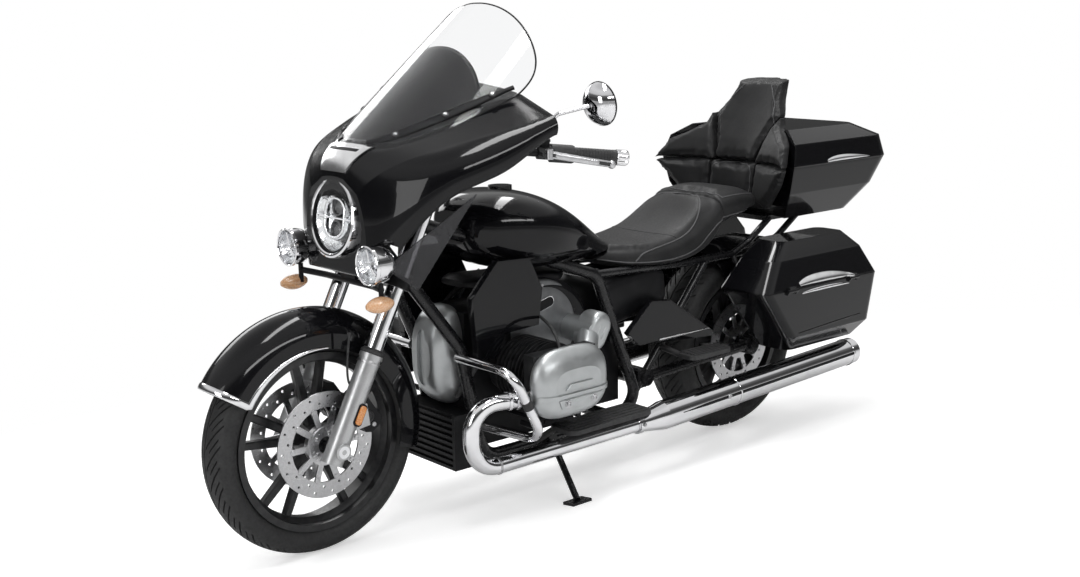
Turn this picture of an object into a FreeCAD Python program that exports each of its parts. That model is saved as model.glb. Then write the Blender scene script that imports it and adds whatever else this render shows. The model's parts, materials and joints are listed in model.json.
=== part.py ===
"""Touring cruiser motorcycle with a flat-twin engine, a fork-mounted fairing, hard panniers and a top case.

The machine is drawn upright, with the ground at zero, the front axle at x = 0, +X forward and +Y to the
rider's left. At the end it is leant onto its side stand and moved so that the origin is under its middle.
All lengths are in millimetres and all angles in degrees.
"""
import FreeCAD, Part
import math
import os

V = FreeCAD.Vector

# Angles of a whole, a half and a quarter turn
full_turn = 360
half_turn = 180
quarter_turn = 90

# Stance
wheelbase = 1695.0
lean_angle = 8.0
rake_angle = 27.3
steering_lead = 14.0

# Clearances and overruns that every piece shares
seat_gap = 0.3
running_gap = 0.1
bearing_gap = 0.5
overrun = 5.0

# How curves are drawn
bend_run_share = 0.45
oval_points = 20
loft_degree = 3

# Both wheels
tyre_wall = 9.0
rim_wall = 6.0
rim_flange_height = 13.0
rim_flange_width = 6.0
rim_shelf = 16.0
tyre_seat_share = 0.74
crown_reach_share = 0.86
spoke_pairs = 5
first_spoke_angle = 90
spoke_pair_half_angle = 11.0
spoke_root_share = 0.62
spoke_taper_share = 0.8
spoke_edge_share = 0.35

# Front wheel
front_tyre_radius = 325.0
front_tyre_width = 120.0
front_crown_radius = 76.0
front_bead_radius = 241.0
front_rim_depth = 20.0
front_hub_radius = 46.0
front_hub_width = 116.0
front_spoke_width = 28.0
front_spoke_depth = 30.0

# Rear wheel
rear_tyre_radius = 320.0
rear_tyre_width = 180.0
rear_crown_radius = 112.0
rear_bead_radius = 203.0
rear_rim_depth = 20.0
rear_hub_radius = 54.0
rear_hub_width = 130.0
rear_spoke_width = 32.0
rear_spoke_depth = 42.0
rear_disc_offset = 82.0

# Brake discs
disc_radius = 150.0
disc_band = 44.0
disc_thickness = 5.0
front_disc_offset = 72.0
disc_hole_radius = 4.0
disc_hole_count = 15
disc_row_shares = [0.3, 0.7]
disc_bore_margin = 12.0
disc_carrier_width = 34.0
disc_arm_width = 17.0
disc_arm_count = 10
sensor_ring_radius = 52.0
sensor_ring_band = 12.0
sensor_ring_thickness = 3.0
sensor_slot_width = 5.0
sensor_slot_count = 24

# Axles
axle_radius = 12.5
axle_bore_radius = 7.0
axle_nut_radius = 17.0
axle_nut_length = 8.0

# Telescopic fork, measured along the fork from the front axle
fork_spacing = 260.0
slider_radius = 30.0
slider_top = 262.0
slider_bottom = 42.0
slider_collar_height = 12.0
slider_collar_radius = 33.0
tube_radius = 25.0
tube_top = 775.0
fork_cap_height = 10.0
fork_cap_radius = 20.0
lower_yoke_bottom = 468.0
lower_yoke_top = 500.0
upper_yoke_bottom = 735.0
upper_yoke_top = 762.0
yoke_front = 50.0
yoke_rear = 30.0
yoke_margin = 10.0
stem_radius = 17.0
head_tube_radius = 33.0

# Front brake calipers
caliper_length = 120.0
caliper_height = 64.0
caliper_width = 60.0
caliper_inner_y = 50.0
caliper_slot = 12.0
caliper_disc_gap = 5.0
caliper_angle = 146.0
caliper_orbit = 134.0
caliper_edge_share = 0.24
caliper_lug_thickness = 14.0
caliper_lug_reach = 74.0

# Front mudguard
mudguard_radius = 360.0
mudguard_half_width = 84.0
mudguard_crown = 62.0
mudguard_wall = 4.0
mudguard_shift_x = 10.0
mudguard_shift_z = 14.0
mudguard_front_angle = 34.0
mudguard_rear_angle = 196.0
mudguard_skirt_depth = 42.0
guard_shoulder_share = 0.5
stay_length = 44.0
stay_depth = 40.0
stay_bottom = 222.0
stay_top = 296.0

# Fairing: x, widest half width, lower edge y and z, crease y and z, crown y and z, all as shares
fairing_nose_x = -112.0
fairing_length = 430.0
fairing_half_width = 436.0
fairing_bottom = 770.0
fairing_height = 500.0
fairing_wall = 6.0
fairing_waist_share = 0.45
fairing_crown_share = 0.10
fairing_bottom_reach = 40.0
fairing_station_shares = [
    (0.00, 0.34, 0.30, 0.03, 0.26, 0.47, 0.12, 0.54),
    (0.05, 0.46, 0.42, 0.04, 0.35, 0.55, 0.15, 0.64),
    (0.16, 0.62, 0.54, 0.19, 0.47, 0.63, 0.20, 0.71),
    (0.32, 0.76, 0.69, 0.38, 0.60, 0.69, 0.28, 0.76),
    (0.55, 0.87, 0.80, 0.48, 0.75, 0.75, 0.42, 0.83),
    (0.80, 0.95, 0.87, 0.61, 0.87, 0.81, 0.55, 0.91),
    (1.00, 1.00, 0.94, 0.73, 0.96, 0.86, 0.66, 0.96),
]

# Headlamp
headlamp_rise_share = 0.322
headlamp_radius = 98.0
headlamp_ring_width = 12.0
headlamp_depth = 90.0
headlamp_front_x = -112.0
headlamp_tilt = 8.0

# Windscreen, in its own frame up its slope
screen_base_x = -160.0
screen_rise_share = 0.704
screen_slope = 38.6
screen_length = 596.0
screen_half_width = 280.0
screen_wall = 4.0
screen_bend_radius = 370.0
screen_outline_shares = [
    # length, half width
    (-0.01, 0.00), (0.00, 0.32), (0.14, 0.66), (0.36, 0.88), (0.62, 1.00), (0.82, 0.95), (0.94, 0.68),
    (1.00, 0.00),
]

# Instrument panel
dash_front_x = -350.0
dash_depth = 34.0
dash_height = 120.0
dash_rise_share = 0.608
dash_lean = 15.0
dash_foot_y = 100.0
dash_foot_radius = 8.0
dash_foot_rise = 74.0
dash_foot_setback = 10.0
gauge_radius = 30.0
gauge_count = 2
gauge_first_y = 172.0
gauge_spacing = 72.0
gauge_height = 8.0
gauge_centre_height = 40.0
display_width = 260.0
display_height = 84.0
display_bottom = 6.0

# Lamp bar, fog lamps and turn signals
bracket_width = 70.0
bracket_thickness = 10.0
lamp_bar_x = -150.0
lamp_bar_z = 752.0
lamp_bar_bend_y = 120.0
lamp_bar_end_z = 760.0
lamp_bar_bend = 50.0
lamp_bar_radius = 9.0
lamp_post_radius = 7.0
lamp_radius = 52.0
lamp_depth = 74.0
lamp_bezel = 6.0
lamp_x = -80.0
lamp_y = 202.0
lamp_rise = 59.0
indicator_x = -100.0
indicator_y = 217.0
indicator_z = 724.0
indicator_length = 84.0
indicator_height = 44.0
indicator_thickness = 40.0
indicator_set_share = 0.5
indicator_station_shares = [
    # length, width, height
    (0.00, 0.20, 0.30), (0.30, 0.85, 0.90), (0.60, 1.00, 1.00), (1.00, 0.40, 0.40),
]

# Wind deflectors below the fairing
deflector_front_x = -140.0
deflector_front_y = 190.0
deflector_top_z = 812.0
deflector_rear_x = -352.0
deflector_rear_y = 322.0
deflector_rear_z = 1000.0
deflector_low_x = -240.0
deflector_low_y = 200.0
deflector_low_z = 740.0
deflector_thickness = 4.0

# Handlebar and what it carries
bar_radius = 12.7
bar_rise_x = -352.0
bar_rise_z = 1050.0
bar_clamp_half_width = 60.0
bar_shoulder_x = -404.0
bar_shoulder_y = 190.0
bar_shoulder_z = 1096.0
bar_bend_x = -500.0
bar_bend_y = 330.0
bar_bend_z = 1104.0
bar_end_x = -775.0
bar_end_y = 457.0
bar_end_z = 1071.0
bar_bend_radius = 60.0
riser_y = 42.0
riser_lead = 12.0
riser_radius = 15.0
grip_radius = 18.0
grip_length = 126.0
grip_cap_radius = 19.0
grip_cap_length = 34.0
switch_length = 62.0
switch_radius = 25.0
reservoir_length = 36.0
lever_length = 176.0
lever_width = 18.0
lever_thickness = 10.0
lever_drop = 16.0
lever_forward = 56.0
mirror_radius = 60.0
mirror_depth = 38.0
mirror_x = -669.0
mirror_y = 446.0
mirror_z = 1224.0
mirror_elbow_x = -575.0
mirror_elbow_y = 392.0
mirror_elbow_z = 1200.0
mirror_bend_radius = 24.0
mirror_stalk_radius = 6.0
mirror_foot_length = 20.0
mirror_bulge_share = 0.72
mirror_tilt = 8.0

# Frame
frame_tube_radius = 19.0
frame_bend_radius = 70.0
head_rail_y = 14.0
rail_start = 660.0
downtube_start = 570.0
frame_knee_x = -965.0
frame_knee_z = 672.0
frame_half_spacing = 128.0
frame_heel_x = -1140.0
frame_heel_z = 250.0
frame_heel_run = 60.0
cradle_z = 178.0
cradle_front_x = -520.0
cradle_half_spacing = 112.0
downtube_x = -480.0
downtube_low_z = 330.0
downtube_mid_x = -446.0
downtube_mid_z = 520.0
pivot_boss_radius = 30.0

# Subframe and rack
subframe_radius = 13.0
subframe_half_spacing = 118.0
subframe_z = 650.0
subframe_overhang = 205.0
rail_bend_x = -1400.0
strut_low_z = 262.0
strut_top_x = -1480.0
rack_radius = 11.0
rack_bend_radius = 40.0
rack_y = 150.0
rack_front_lead = 85.0
rack_rear_lag = 65.0
rack_leg_step = 50.0
rack_leg_lean = 150.0
rack_elbow_z = 695.0
rack_plate_front_lag = 45.0
rack_plate_rear_lag = 285.0
rack_plate_bottom = 752.0
rack_plate_thickness = 16.0
pannier_bracket_radius = 9.0
pannier_bracket_y = 152.0
pannier_bracket_top_z = 600.0
pannier_bracket_z = 500.0

# Engine
dome_x = -760.0
dome_z = 500.0
dome_radius = 185.0
dome_half_width = 130.0
dome_edge = 22.0
front_case_x = -474.0
case_half_width_front = 92.0
front_case_bottom = 330.0
front_case_top = 620.0
sump_front_x = -520.0
sump_rear_x = -905.0
sump_half_width = 86.0
sump_bottom = 205.0
gearbox_rear_x = -1100.0
gearbox_half_width = 88.0
gearbox_top = 500.0
gearbox_bottom = 235.0
engine_lug_x = -1040.0
engine_lug_z = 455.0
engine_lug_radius = 16.0
engine_cover_front_x = -384.0
engine_cover_half_width = 84.0
engine_cover_bottom = 338.0
engine_cover_top = 634.0
cover_power = 3.0
engine_cover_station_shares = [
    # depth, half width, bottom, top
    (0.0, 1.0, 0.0, 1.0), (0.5, 0.92, 0.04, 0.98), (0.85, 0.74, 0.16, 0.86), (1.0, 0.5, 0.3, 0.7),
]

engine_recess_half_width = 22.0
engine_recess_half_height = 84.0
engine_recess_depth = 9.0

# Oil cooler
oil_cooler_front_x = -398.0
oil_cooler_depth = 76.0
oil_cooler_half_width = 132.0
oil_cooler_bottom = 166.0
oil_cooler_top = 332.0
louvre_count = 9
louvre_depth = 8.0
louvre_margin = 12.0
louvre_gap_share = 0.5

# Cylinders
cylinder_x = -640.0
cylinder_z = 440.0
cylinder_radius = 80.0
cylinder_fin_radius = 100.0
cylinder_fin_start_y = 150.0
cylinder_fin_count = 9
cylinder_fin_thickness = 4.0
cylinder_end_y = 300.0
head_length = 236.0
head_height = 176.0
head_depth = 44.0
head_cover_length = 276.0
head_cover_height = 206.0
head_cover_depth = 60.0
head_cover_power = 3.0
head_rib_height = 7.0
head_rib_width = 13.0
head_rib_drop = 27.0
head_cover_station_shares = [
    # depth, length, height
    (0.0, 0.96, 0.94), (0.2, 1.0, 1.0), (0.6, 0.93, 0.9), (0.88, 0.78, 0.66), (1.0, 0.62, 0.46),
]
intake_x = -846.0
intake_z = 528.0
intake_radius = 40.0
intake_end_y = 262.0
intake_link_share = 0.8
intake_port_share = 0.25

# Exhausts
header_radius = 24.0
header_port_y = 316.0
header_front_y = 270.0
header_port_z = 404.0
header_front_x = -352.0
header_low_z = 208.0
header_bend_radius = 90.0
silencer_front_x = -960.0
silencer_front_z = 226.0
silencer_cone_length = 120.0
silencer_end_x = -2040.0
silencer_end_z = 268.0
silencer_y = 302.0
silencer_radius = 46.0
silencer_tip_depth = 60.0
silencer_wall = 3.0

# Crash bars
crash_bar_radius = 14.0
crash_bar_bend = 60.0
crash_bar_front_x = -432.0
crash_bar_top_z = 500.0
crash_bar_outer_y = 360.0
crash_bar_low_x = -545.0
crash_bar_low_z = 280.0
crash_bar_foot_x = -492.0
crash_bar_foot_z = 286.0

# Fuel tank
tank_front_x = -506.0
tank_length = 570.0
tank_bottom = 712.0
tank_height = 244.0
tank_half_width = 200.0
tank_power = 2.6
tank_station_shares = [
    # length, half width, bottom, top
    (0.00, 0.40, 0.40, 0.80),
    (0.10, 0.74, 0.16, 0.95),
    (0.32, 1.00, 0.03, 1.00),
    (0.56, 0.95, 0.00, 0.82),
    (0.80, 0.68, 0.00, 0.46),
    (1.00, 0.34, 0.00, 0.20),
]
filler_cap_radius = 36.0
filler_cap_height = 8.0
filler_cap_share = 0.33

# Side shrouds under the tank
shroud_y = 166.0
shroud_thickness = 26.0
shroud_front_x = -430.0
shroud_length = 260.0
shroud_bottom = 498.0
shroud_height = 282.0
shroud_outline_shares = [
    (0.00, 0.66), (0.06, 0.02), (0.30, 0.00), (0.46, 0.24), (0.94, 0.26), (1.00, 0.64), (0.82, 0.98),
    (0.36, 1.00),
]

# Side covers
side_cover_front_x = -1062.0
side_cover_length = 400.0
side_cover_bottom = 402.0
side_cover_height = 160.0
side_cover_y = 152.0
side_cover_thickness = 22.0
side_cover_post_radius = 7.0
side_cover_post_shares = [0.44, 0.55]
side_cover_outline_shares = [
    (0.00, 0.44), (0.26, 1.00), (0.48, 0.94), (1.00, 0.08), (0.96, 0.00), (0.12, 0.16),
]

# Seats
seat_front_x = -1010.0
seat_power = 3.0
rider_seat_length = 500.0
rider_seat_half_width = 186.0
rider_seat_bottom = 658.0
rider_seat_height = 212.0
rider_station_shares = [
    # length, half width, bottom, top
    (0.00, 0.42, 0.20, 0.46),
    (0.20, 0.74, 0.04, 0.38),
    (0.50, 1.00, 0.00, 0.42),
    (0.78, 0.98, 0.04, 0.68),
    (0.94, 0.94, 0.24, 0.94),
    (1.00, 0.90, 0.42, 1.00),
]
pillion_seat_length = 180.0
pillion_seat_half_width = 168.0
pillion_seat_bottom = 742.0
pillion_seat_height = 130.0
pillion_station_shares = [
    (0.00, 0.98, 0.02, 0.98), (0.50, 1.00, 0.24, 1.00), (1.00, 0.92, 0.44, 0.92),
]

# Rear suspension arm, final drive and rear brake
arm_pivot_x = -1180.0
arm_pivot_z = 300.0
arm_half_spacing = 128.0
arm_radius = 18.0
arm_sleeve_radius = 26.0
shaft_housing_radius = 32.0
final_drive_radius = 92.0
final_drive_inner_y = 72.0
final_drive_width = 74.0
final_drive_edge = 14.0
axle_eye_radius = 34.0
rear_caliper_angle = 150.0
rear_caliper_length = 92.0
rear_caliper_height = 58.0
rear_caliper_width = 44.0
rear_lug_y = 113.0

# Rear mudguard and number-plate holder
rear_guard_radius = 352.0
rear_guard_half_width = 104.0
rear_guard_crown = 80.0
rear_guard_wall = 4.0
rear_guard_shift_z = 14.0
rear_guard_skirt = 30.0
rear_guard_front_angle = 66.0
rear_guard_rear_angle = 176.0
rear_guard_lug_length = 30.0
rear_guard_lug_bottom = 576.0
rear_guard_lug_reach = 55.0
plate_angle = 172.0
plate_arm_length = 110.0
plate_arm_width = 60.0
plate_bracket_thickness = 8.0
plate_width = 200.0
plate_height = 130.0
plate_bore_spacing = 170.0
plate_bore_height = 40.0
plate_bore_radius = 3.1

# Floorboards
board_front_x = -672.0
board_length = 340.0
board_width = 112.0
board_inner_y = 226.0
board_z = 266.0
board_thickness = 14.0
board_corner = 26.0
board_arm_radius = 10.0
board_arm_shares = [0.12, 0.8]
pillion_board_x = -1240.0
pillion_board_length = 190.0
pillion_board_width = 84.0
pillion_board_inner_y = 205.0
pillion_board_z = 380.0
pillion_arm_share = 0.06

# Gear lever on the left and brake pedal on the right
foot_pivot_x = -642.0
foot_pivot_z = 292.0
foot_lever_y = 250.0
foot_rod_radius = 7.0
foot_bar_width = 16.0
foot_bar_thickness = 8.0
foot_toe_reach = 84.0
foot_heel_reach = 90.0
foot_pad_length = 50.0
foot_pad_radius = 9.0
foot_pad_rise = 16.0

# Hinges of the lids
hinge_count = 2
hinge_end_share = 0.24
hinge_radius = 6.0
hinge_pin_radius = 2.5
hinge_knuckle_length = 30.0
hinge_lug_length = 10.0
hinge_gap = 0.5
hinge_root = 10.0
hinge_web_height = 12.0
lid_gap = 0.6

# Panniers: height, front, rear and outer side as shares
pannier_front_lead = 255.0
pannier_length = 626.0
pannier_inner_y = 178.0
pannier_outer_y = 392.0
pannier_bottom = 336.0
pannier_split = 566.0
pannier_top = 706.0
pannier_wall = 4.0
pannier_corner = 34.0
pannier_slice_shares = [
    (0.00, 0.36, 0.96, 0.66),
    (0.16, 0.28, 0.99, 0.90),
    (0.62, 0.04, 1.00, 1.00),
    (0.86, 0.20, 0.96, 0.76),
    (1.00, 0.34, 0.88, 0.56),
]

# Top case: height, half width, front tips, front middle and rear as shares
case_front_lead = 5.0
case_length = 555.0
case_half_width = 300.0
case_bottom = 768.0
case_split = 946.0
case_top = 1062.0
case_wall = 4.0
case_corner = 70.0
case_slice_shares = [
    (0.00, 0.76, 0.10, 0.20, 0.78),
    (0.30, 0.92, 0.04, 0.20, 0.92),
    (0.62, 1.00, 0.02, 0.22, 1.00),
    (0.86, 0.94, 0.06, 0.24, 0.98),
    (1.00, 0.72, 0.14, 0.26, 0.84),
]

# Backrest: height, half width, tips and middle as shares
backrest_front_lead = 65.0
backrest_depth = 260.0
backrest_bottom = 792.0
backrest_top = 1222.0
backrest_half_width = 292.0
backrest_thickness = 70.0
backrest_edge_share = 0.5
backrest_slice_shares = [
    (0.00, 0.60, 0.28, 0.36),
    (0.20, 0.86, 0.14, 0.40),
    (0.36, 1.00, 0.04, 0.45),
    (0.52, 0.90, 0.22, 0.56),
    (0.66, 0.58, 0.58, 0.70),
    (0.84, 0.42, 0.80, 0.86),
    (1.00, 0.34, 0.97, 1.00),
]

# Tail lamps
tail_lamp_z = 512.0
tail_lamp_radius = 26.0
tail_lamp_width = 90.0
tail_lamp_depth = 18.0
tail_lamp_inset = 20.0
tail_lamp_power = 3.0
tail_lamp_station_shares = [
    # depth, size
    (0.0, 1.0), (0.6, 0.95), (1.0, 0.8),
]

# Side stand
stand_pivot_x = -760.0
stand_pivot_y = 152.0
stand_pivot_z = 176.0
stand_foot_x = -700.0
stand_foot_y = 330.0
stand_leg_radius = 10.0
stand_eye_radius = 14.0
stand_eye_length = 24.0
stand_pin_radius = 5.0
stand_lug_thickness = 8.0
stand_lug_gap = 1.0
stand_arm_radius = 8.0
stand_foot_length = 74.0
stand_foot_width = 46.0
stand_foot_thickness = 9.0
stand_fold_back_share = 0.98
stand_fold_out_share = 0.17
stand_fold_up_share = 0.01

rake = math.radians(rake_angle)
lean = math.radians(lean_angle)
along_y = V(0, 1, 0)
front_axle_z = front_tyre_radius + front_crown_radius * (1 / math.cos(lean) - 1)
rear_axle_z = rear_tyre_radius + rear_crown_radius * (1 / math.cos(lean) - 1)
front_axle = V(0, 0, front_axle_z)
rear_axle = V(-wheelbase, 0, rear_axle_z)

# Places that follow the rear wheel, the frame's rear upright or the fairing
subframe_end_x = rear_axle.x - subframe_overhang
rack_front_x = rear_axle.x + rack_front_lead
rack_rear_x = rear_axle.x - rack_rear_lag
rack_plate_front_x = rear_axle.x - rack_plate_front_lag
rack_plate_rear_x = rear_axle.x - rack_plate_rear_lag
pannier_front_x = rear_axle.x + pannier_front_lead
case_front_x = rear_axle.x + case_front_lead
backrest_front_x = rear_axle.x + backrest_front_lead
upright_share = (frame_knee_z - strut_low_z) / (frame_knee_z - frame_heel_z)
strut_low_x = frame_knee_x + (frame_heel_x - frame_knee_x) * upright_share
headlamp_height = fairing_bottom + headlamp_rise_share * fairing_height
screen_base_z = fairing_bottom + screen_rise_share * fairing_height
dash_bottom = fairing_bottom + dash_rise_share * fairing_height
lamp_z = fairing_bottom + lamp_rise

# Directions and frames
fork_along = V(-math.sin(rake), 0, math.cos(rake))
fork_ahead = V(math.cos(rake), 0, math.sin(rake))
fork_frame = FreeCAD.Placement(front_axle, FreeCAD.Rotation(along_y, -rake_angle))


# Shapes that many pieces use

def unit(vector):
    """The direction of a vector, one unit long."""
    copy = V(vector)
    copy.normalize()
    return copy


def rod(start, end, radius):
    """A round bar between two points."""
    run = end - start
    return Part.makeCylinder(radius, run.Length, start, run)


def block(low, high):
    """A box between its lowest and highest corners."""
    size = high - low
    return Part.makeBox(size.x, size.y, size.z, low)


def plate(start, end, normal, width, thickness):
    """A flat bar from start to end, centred on that line, thin along its normal."""
    run = end - start
    turn = FreeCAD.Rotation(run, normal.cross(run), normal, "XZY")
    slab = Part.makeBox(run.Length, width, thickness, V(0, -width / 2, -thickness / 2))
    return placed(slab, FreeCAD.Placement(start, turn))


def placed(shape, frame):
    """A copy of a shape, moved into another frame."""
    copy = shape.copy()
    copy.transformShape(frame.toMatrix(), True)
    return copy


def mirrored(shape):
    """The same piece on the rider's right."""
    return shape.mirror(V(), along_y)


def pair(shape):
    """A left piece and its mirror image, as two solids of one node."""
    return Part.makeCompound([shape, mirrored(shape)])


def joined(*shapes):
    """Several shapes fused to one solid."""
    return shapes[0].fuse(list(shapes[1:])).removeSplitter()


def bent_path(points, bend):
    """Straight runs joined by tangent arcs, none larger than its runs leave room for."""
    edges = []
    start = points[0]
    for before, corner, after in zip(points, points[1:], points[2:]):
        into = unit(corner - before)
        out = unit(after - corner)
        half_angle = into.getAngle(out) / 2
        shorter_run = min((corner - before).Length, (after - corner).Length)
        reach = min(bend * math.tan(half_angle), shorter_run * bend_run_share)
        radius = reach / math.tan(half_angle)
        centre = corner + unit(out - into) * (radius / math.cos(half_angle))
        first = corner - into * reach
        last = corner + out * reach
        middle = centre - unit(out - into) * radius
        edges.append(Part.LineSegment(start, first).toShape())
        edges.append(Part.Arc(first, middle, last).toShape())
        start = last
    edges.append(Part.LineSegment(start, points[-1]).toShape())
    return Part.Wire(edges)


def pipe(points, bend, radius):
    """A round bar bent along a path."""
    ring = Part.Wire(Part.makeCircle(radius, points[0], points[1] - points[0]))
    return bent_path(points, bend).makePipeShell([ring], True, True)


def turned(profile, centre):
    """A ring turned about an axle at centre, from radius and side points."""
    points = [V(radius, side, 0) for radius, side in profile]
    face = Part.Face(Part.makePolygon(points + points[:1]))
    ring = face.revolve(V(), along_y, full_turn)
    ring.translate(centre)
    return ring


def spread(shape, centre, count):
    """Copies of a shape around an axle at centre."""
    copies = []
    for index in range(count):
        copy = shape.copy()
        copy.rotate(centre, along_y, full_turn * index / count)
        copies.append(copy)
    return copies


def ring_bar(centre, radius, low_side, high_side):
    """A round disc about an axle at centre, between two sides."""
    return Part.makeCylinder(radius, high_side - low_side, centre + V(0, low_side, 0), along_y)


def washer(centre, outer, inner, low_side, high_side):
    """A flat ring about an axle at centre."""
    disc = ring_bar(centre, outer, low_side, high_side)
    return disc.cut(ring_bar(centre, inner, low_side - overrun, high_side + overrun))


def oval(centre, half_width, half_height, power, axis):
    """A closed rounded outline square to the X or the Z axis."""
    points = []
    for index in range(oval_points):
        angle = math.tau * index / oval_points
        wide = math.copysign(abs(math.cos(angle)) ** (2 / power), math.cos(angle)) * half_width
        high = math.copysign(abs(math.sin(angle)) ** (2 / power), math.sin(angle)) * half_height
        points.append(centre + (V(0, wide, high) if axis == "x" else V(wide, high, 0)))
    curve = Part.BSplineCurve()
    curve.interpolate(Points=points, PeriodicFlag=True)
    return Part.Wire(curve.toShape())


def hull(front_x, length, half_width, bottom, height, station_shares, power):
    """A rounded body lofted along X from shares of its length, width and height."""
    wires = []
    for at, wide, low, high in station_shares:
        centre = V(front_x - at * length, 0, bottom + (low + high) / 2 * height)
        wires.append(oval(centre, wide * half_width, (high - low) / 2 * height, power, "x"))
    return Part.makeLoft(wires, True)


def side_panel(front_x, length, bottom, height, outline_shares, low_side, high_side):
    """A flat panel square to Y, from shares of its length and height."""
    points = [V(front_x - at * length, low_side, bottom + up * height) for at, up in outline_shares]
    face = Part.Face(Part.makePolygon(points + points[:1]))
    return face.extrude(V(0, high_side - low_side, 0))


def rounded_wire(z, front_x, rear_x, inner_y, outer_y, corner):
    """A level rectangle with rounded corners."""
    edges = []
    corners = [(front_x, inner_y, -1, 1), (front_x, outer_y, -1, -1), (rear_x, outer_y, 1, -1),
               (rear_x, inner_y, 1, 1)]
    arcs = []
    for x, y, into_x, into_y in corners:
        centre = V(x + into_x * corner, y + into_y * corner, z)
        across = V(x + into_x * corner, y, z)
        along = V(x, y + into_y * corner, z)
        middle = centre - V(into_x, into_y, 0) * (corner / math.sqrt(2))
        arcs.append((along, middle, across))
    ends = [(arcs[0][2], arcs[0][1], arcs[0][0]), arcs[1], (arcs[2][2], arcs[2][1], arcs[2][0]), arcs[3]]
    for index, (start, middle, end) in enumerate(ends):
        edges.append(Part.Arc(start, middle, end).toShape())
        edges.append(Part.makeLine(end, ends[(index + 1) % len(ends)][0]))
    return Part.Wire(edges)


# Wheels

def tyre(centre, radius, width, bead, crown, wall):
    """A tyre with a round crown, hollow, open at its beads, which stand straight inside the rim's lips."""
    half = width / 2
    shoulder = half * crown_reach_share
    belt = radius - crown + math.sqrt(crown * crown - shoulder * shoulder)
    lip = bead + rim_flange_height
    side = (belt + lip) / 2
    seat = half * tyre_seat_share
    inner = [V(bead, seat - wall, 0), V(lip, seat - wall, 0), V(side, half - wall, 0),
             V(belt - wall, shoulder - wall, 0),
             V(radius - wall, 0, 0)]
    inner += [V(point.x, -point.y, 0) for point in reversed(inner[:-1])]
    edges = [
        Part.makeLine(V(bead, -seat, 0), V(lip, -seat, 0)),
        Part.Arc(V(lip, -seat, 0), V(side, -half, 0), V(belt, -shoulder, 0)).toShape(),
        Part.Arc(V(belt, -shoulder, 0), V(radius, 0, 0), V(belt, shoulder, 0)).toShape(),
        Part.Arc(V(belt, shoulder, 0), V(side, half, 0), V(lip, seat, 0)).toShape(),
        Part.makeLine(V(lip, seat, 0), V(bead, seat, 0)),
        Part.makeLine(V(bead, seat, 0), inner[0]),
    ]
    edges += [Part.makeLine(first, last) for first, last in zip(inner, inner[1:])]
    edges.append(Part.makeLine(inner[-1], V(bead, -seat, 0)))
    ring = Part.Face(Part.Wire(edges)).revolve(V(), along_y, full_turn)
    ring.translate(centre)
    return ring


def rim(centre, width, bead, depth, wall):
    """The barrel of a wheel: bead seats, outer lips and a well between them."""
    seat = width / 2 * tyre_seat_share
    lip = seat + rim_flange_width
    shelf = seat - rim_shelf
    well = bead - depth
    half = [
        (well + wall, shelf / 2), (bead, shelf), (bead, seat), (bead + rim_flange_height, seat),
        (bead + rim_flange_height, lip), (bead - wall, lip), (bead - wall, shelf), (well, shelf / 2),
    ]
    return turned(half + [(radius, -side) for radius, side in reversed(half)], centre)


def spoke(centre, hub_radius, rim_radius, width, depth, angle, sweep):
    """One tapered arm from hub to rim, an eight-sided bar."""
    wires = []
    for radius, share in ((hub_radius, 1), (rim_radius, spoke_taper_share)):
        half = width / 2 * share
        side = depth / 2 * share
        cut = half * spoke_edge_share
        turn = math.radians(angle + (sweep if radius == rim_radius else sweep * spoke_root_share))
        out = V(math.cos(turn), 0, math.sin(turn))
        across = V(-math.sin(turn), 0, math.cos(turn))
        corners = [(half, side - cut), (half - cut, side), (cut - half, side), (-half, side - cut),
                   (-half, cut - side), (cut - half, -side), (half - cut, -side), (half, cut - side)]
        points = [centre + out * radius + across * wide + V(0, high, 0) for wide, high in corners]
        wires.append(Part.makePolygon(points + points[:1]))
    return Part.makeLoft(wires, True, True)


def cast_wheel(centre, width, bead, depth, wall, hub_radius, hub_width, spoke_width, spoke_depth):
    """A one-piece wheel whose arms stand in five pairs between hub and rim."""
    well = bead - depth
    barrel = rim(centre, width, bead, depth, wall)
    hub = ring_bar(centre, hub_radius, -hub_width / 2, hub_width / 2)
    arms = []
    for index in range(spoke_pairs):
        middle = full_turn * index / spoke_pairs + first_spoke_angle
        for sweep in (-spoke_pair_half_angle, spoke_pair_half_angle):
            arms.append(spoke(centre, hub_radius - wall, well + wall / 2, spoke_width, spoke_depth,
                              middle, sweep))
    wheel = joined(hub, *arms, barrel)
    bore = ring_bar(centre, axle_radius + running_gap, -hub_width, hub_width)
    return wheel.cut(bore)


def brake_disc(centre, offset, hub_side):
    """A drilled disc band on ten bobbins, with the carrier that seats on the hub."""
    inner = disc_radius - disc_band
    low = offset - disc_thickness / 2
    high = offset + disc_thickness / 2
    band = washer(centre, disc_radius, inner, low, high)
    holes = []
    for row, share in enumerate(disc_row_shares):
        hole = ring_bar(centre + V(disc_radius - disc_band * share, 0, 0), disc_hole_radius, low - overrun,
                        high + overrun)
        hole.rotate(centre, along_y, full_turn / disc_hole_count / len(disc_row_shares) * row)
        holes += spread(hole, centre, disc_hole_count)
    band = band.cut(holes)
    bore = axle_radius + disc_bore_margin
    carrier = washer(centre, bore + disc_carrier_width, bore, hub_side, high)
    arm = block(V(bore + disc_carrier_width / 2, low, -disc_arm_width / 2),
                V(inner + overrun, high, disc_arm_width / 2))
    arm.translate(centre)
    return joined(carrier, *spread(arm, centre, disc_arm_count), band)


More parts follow.
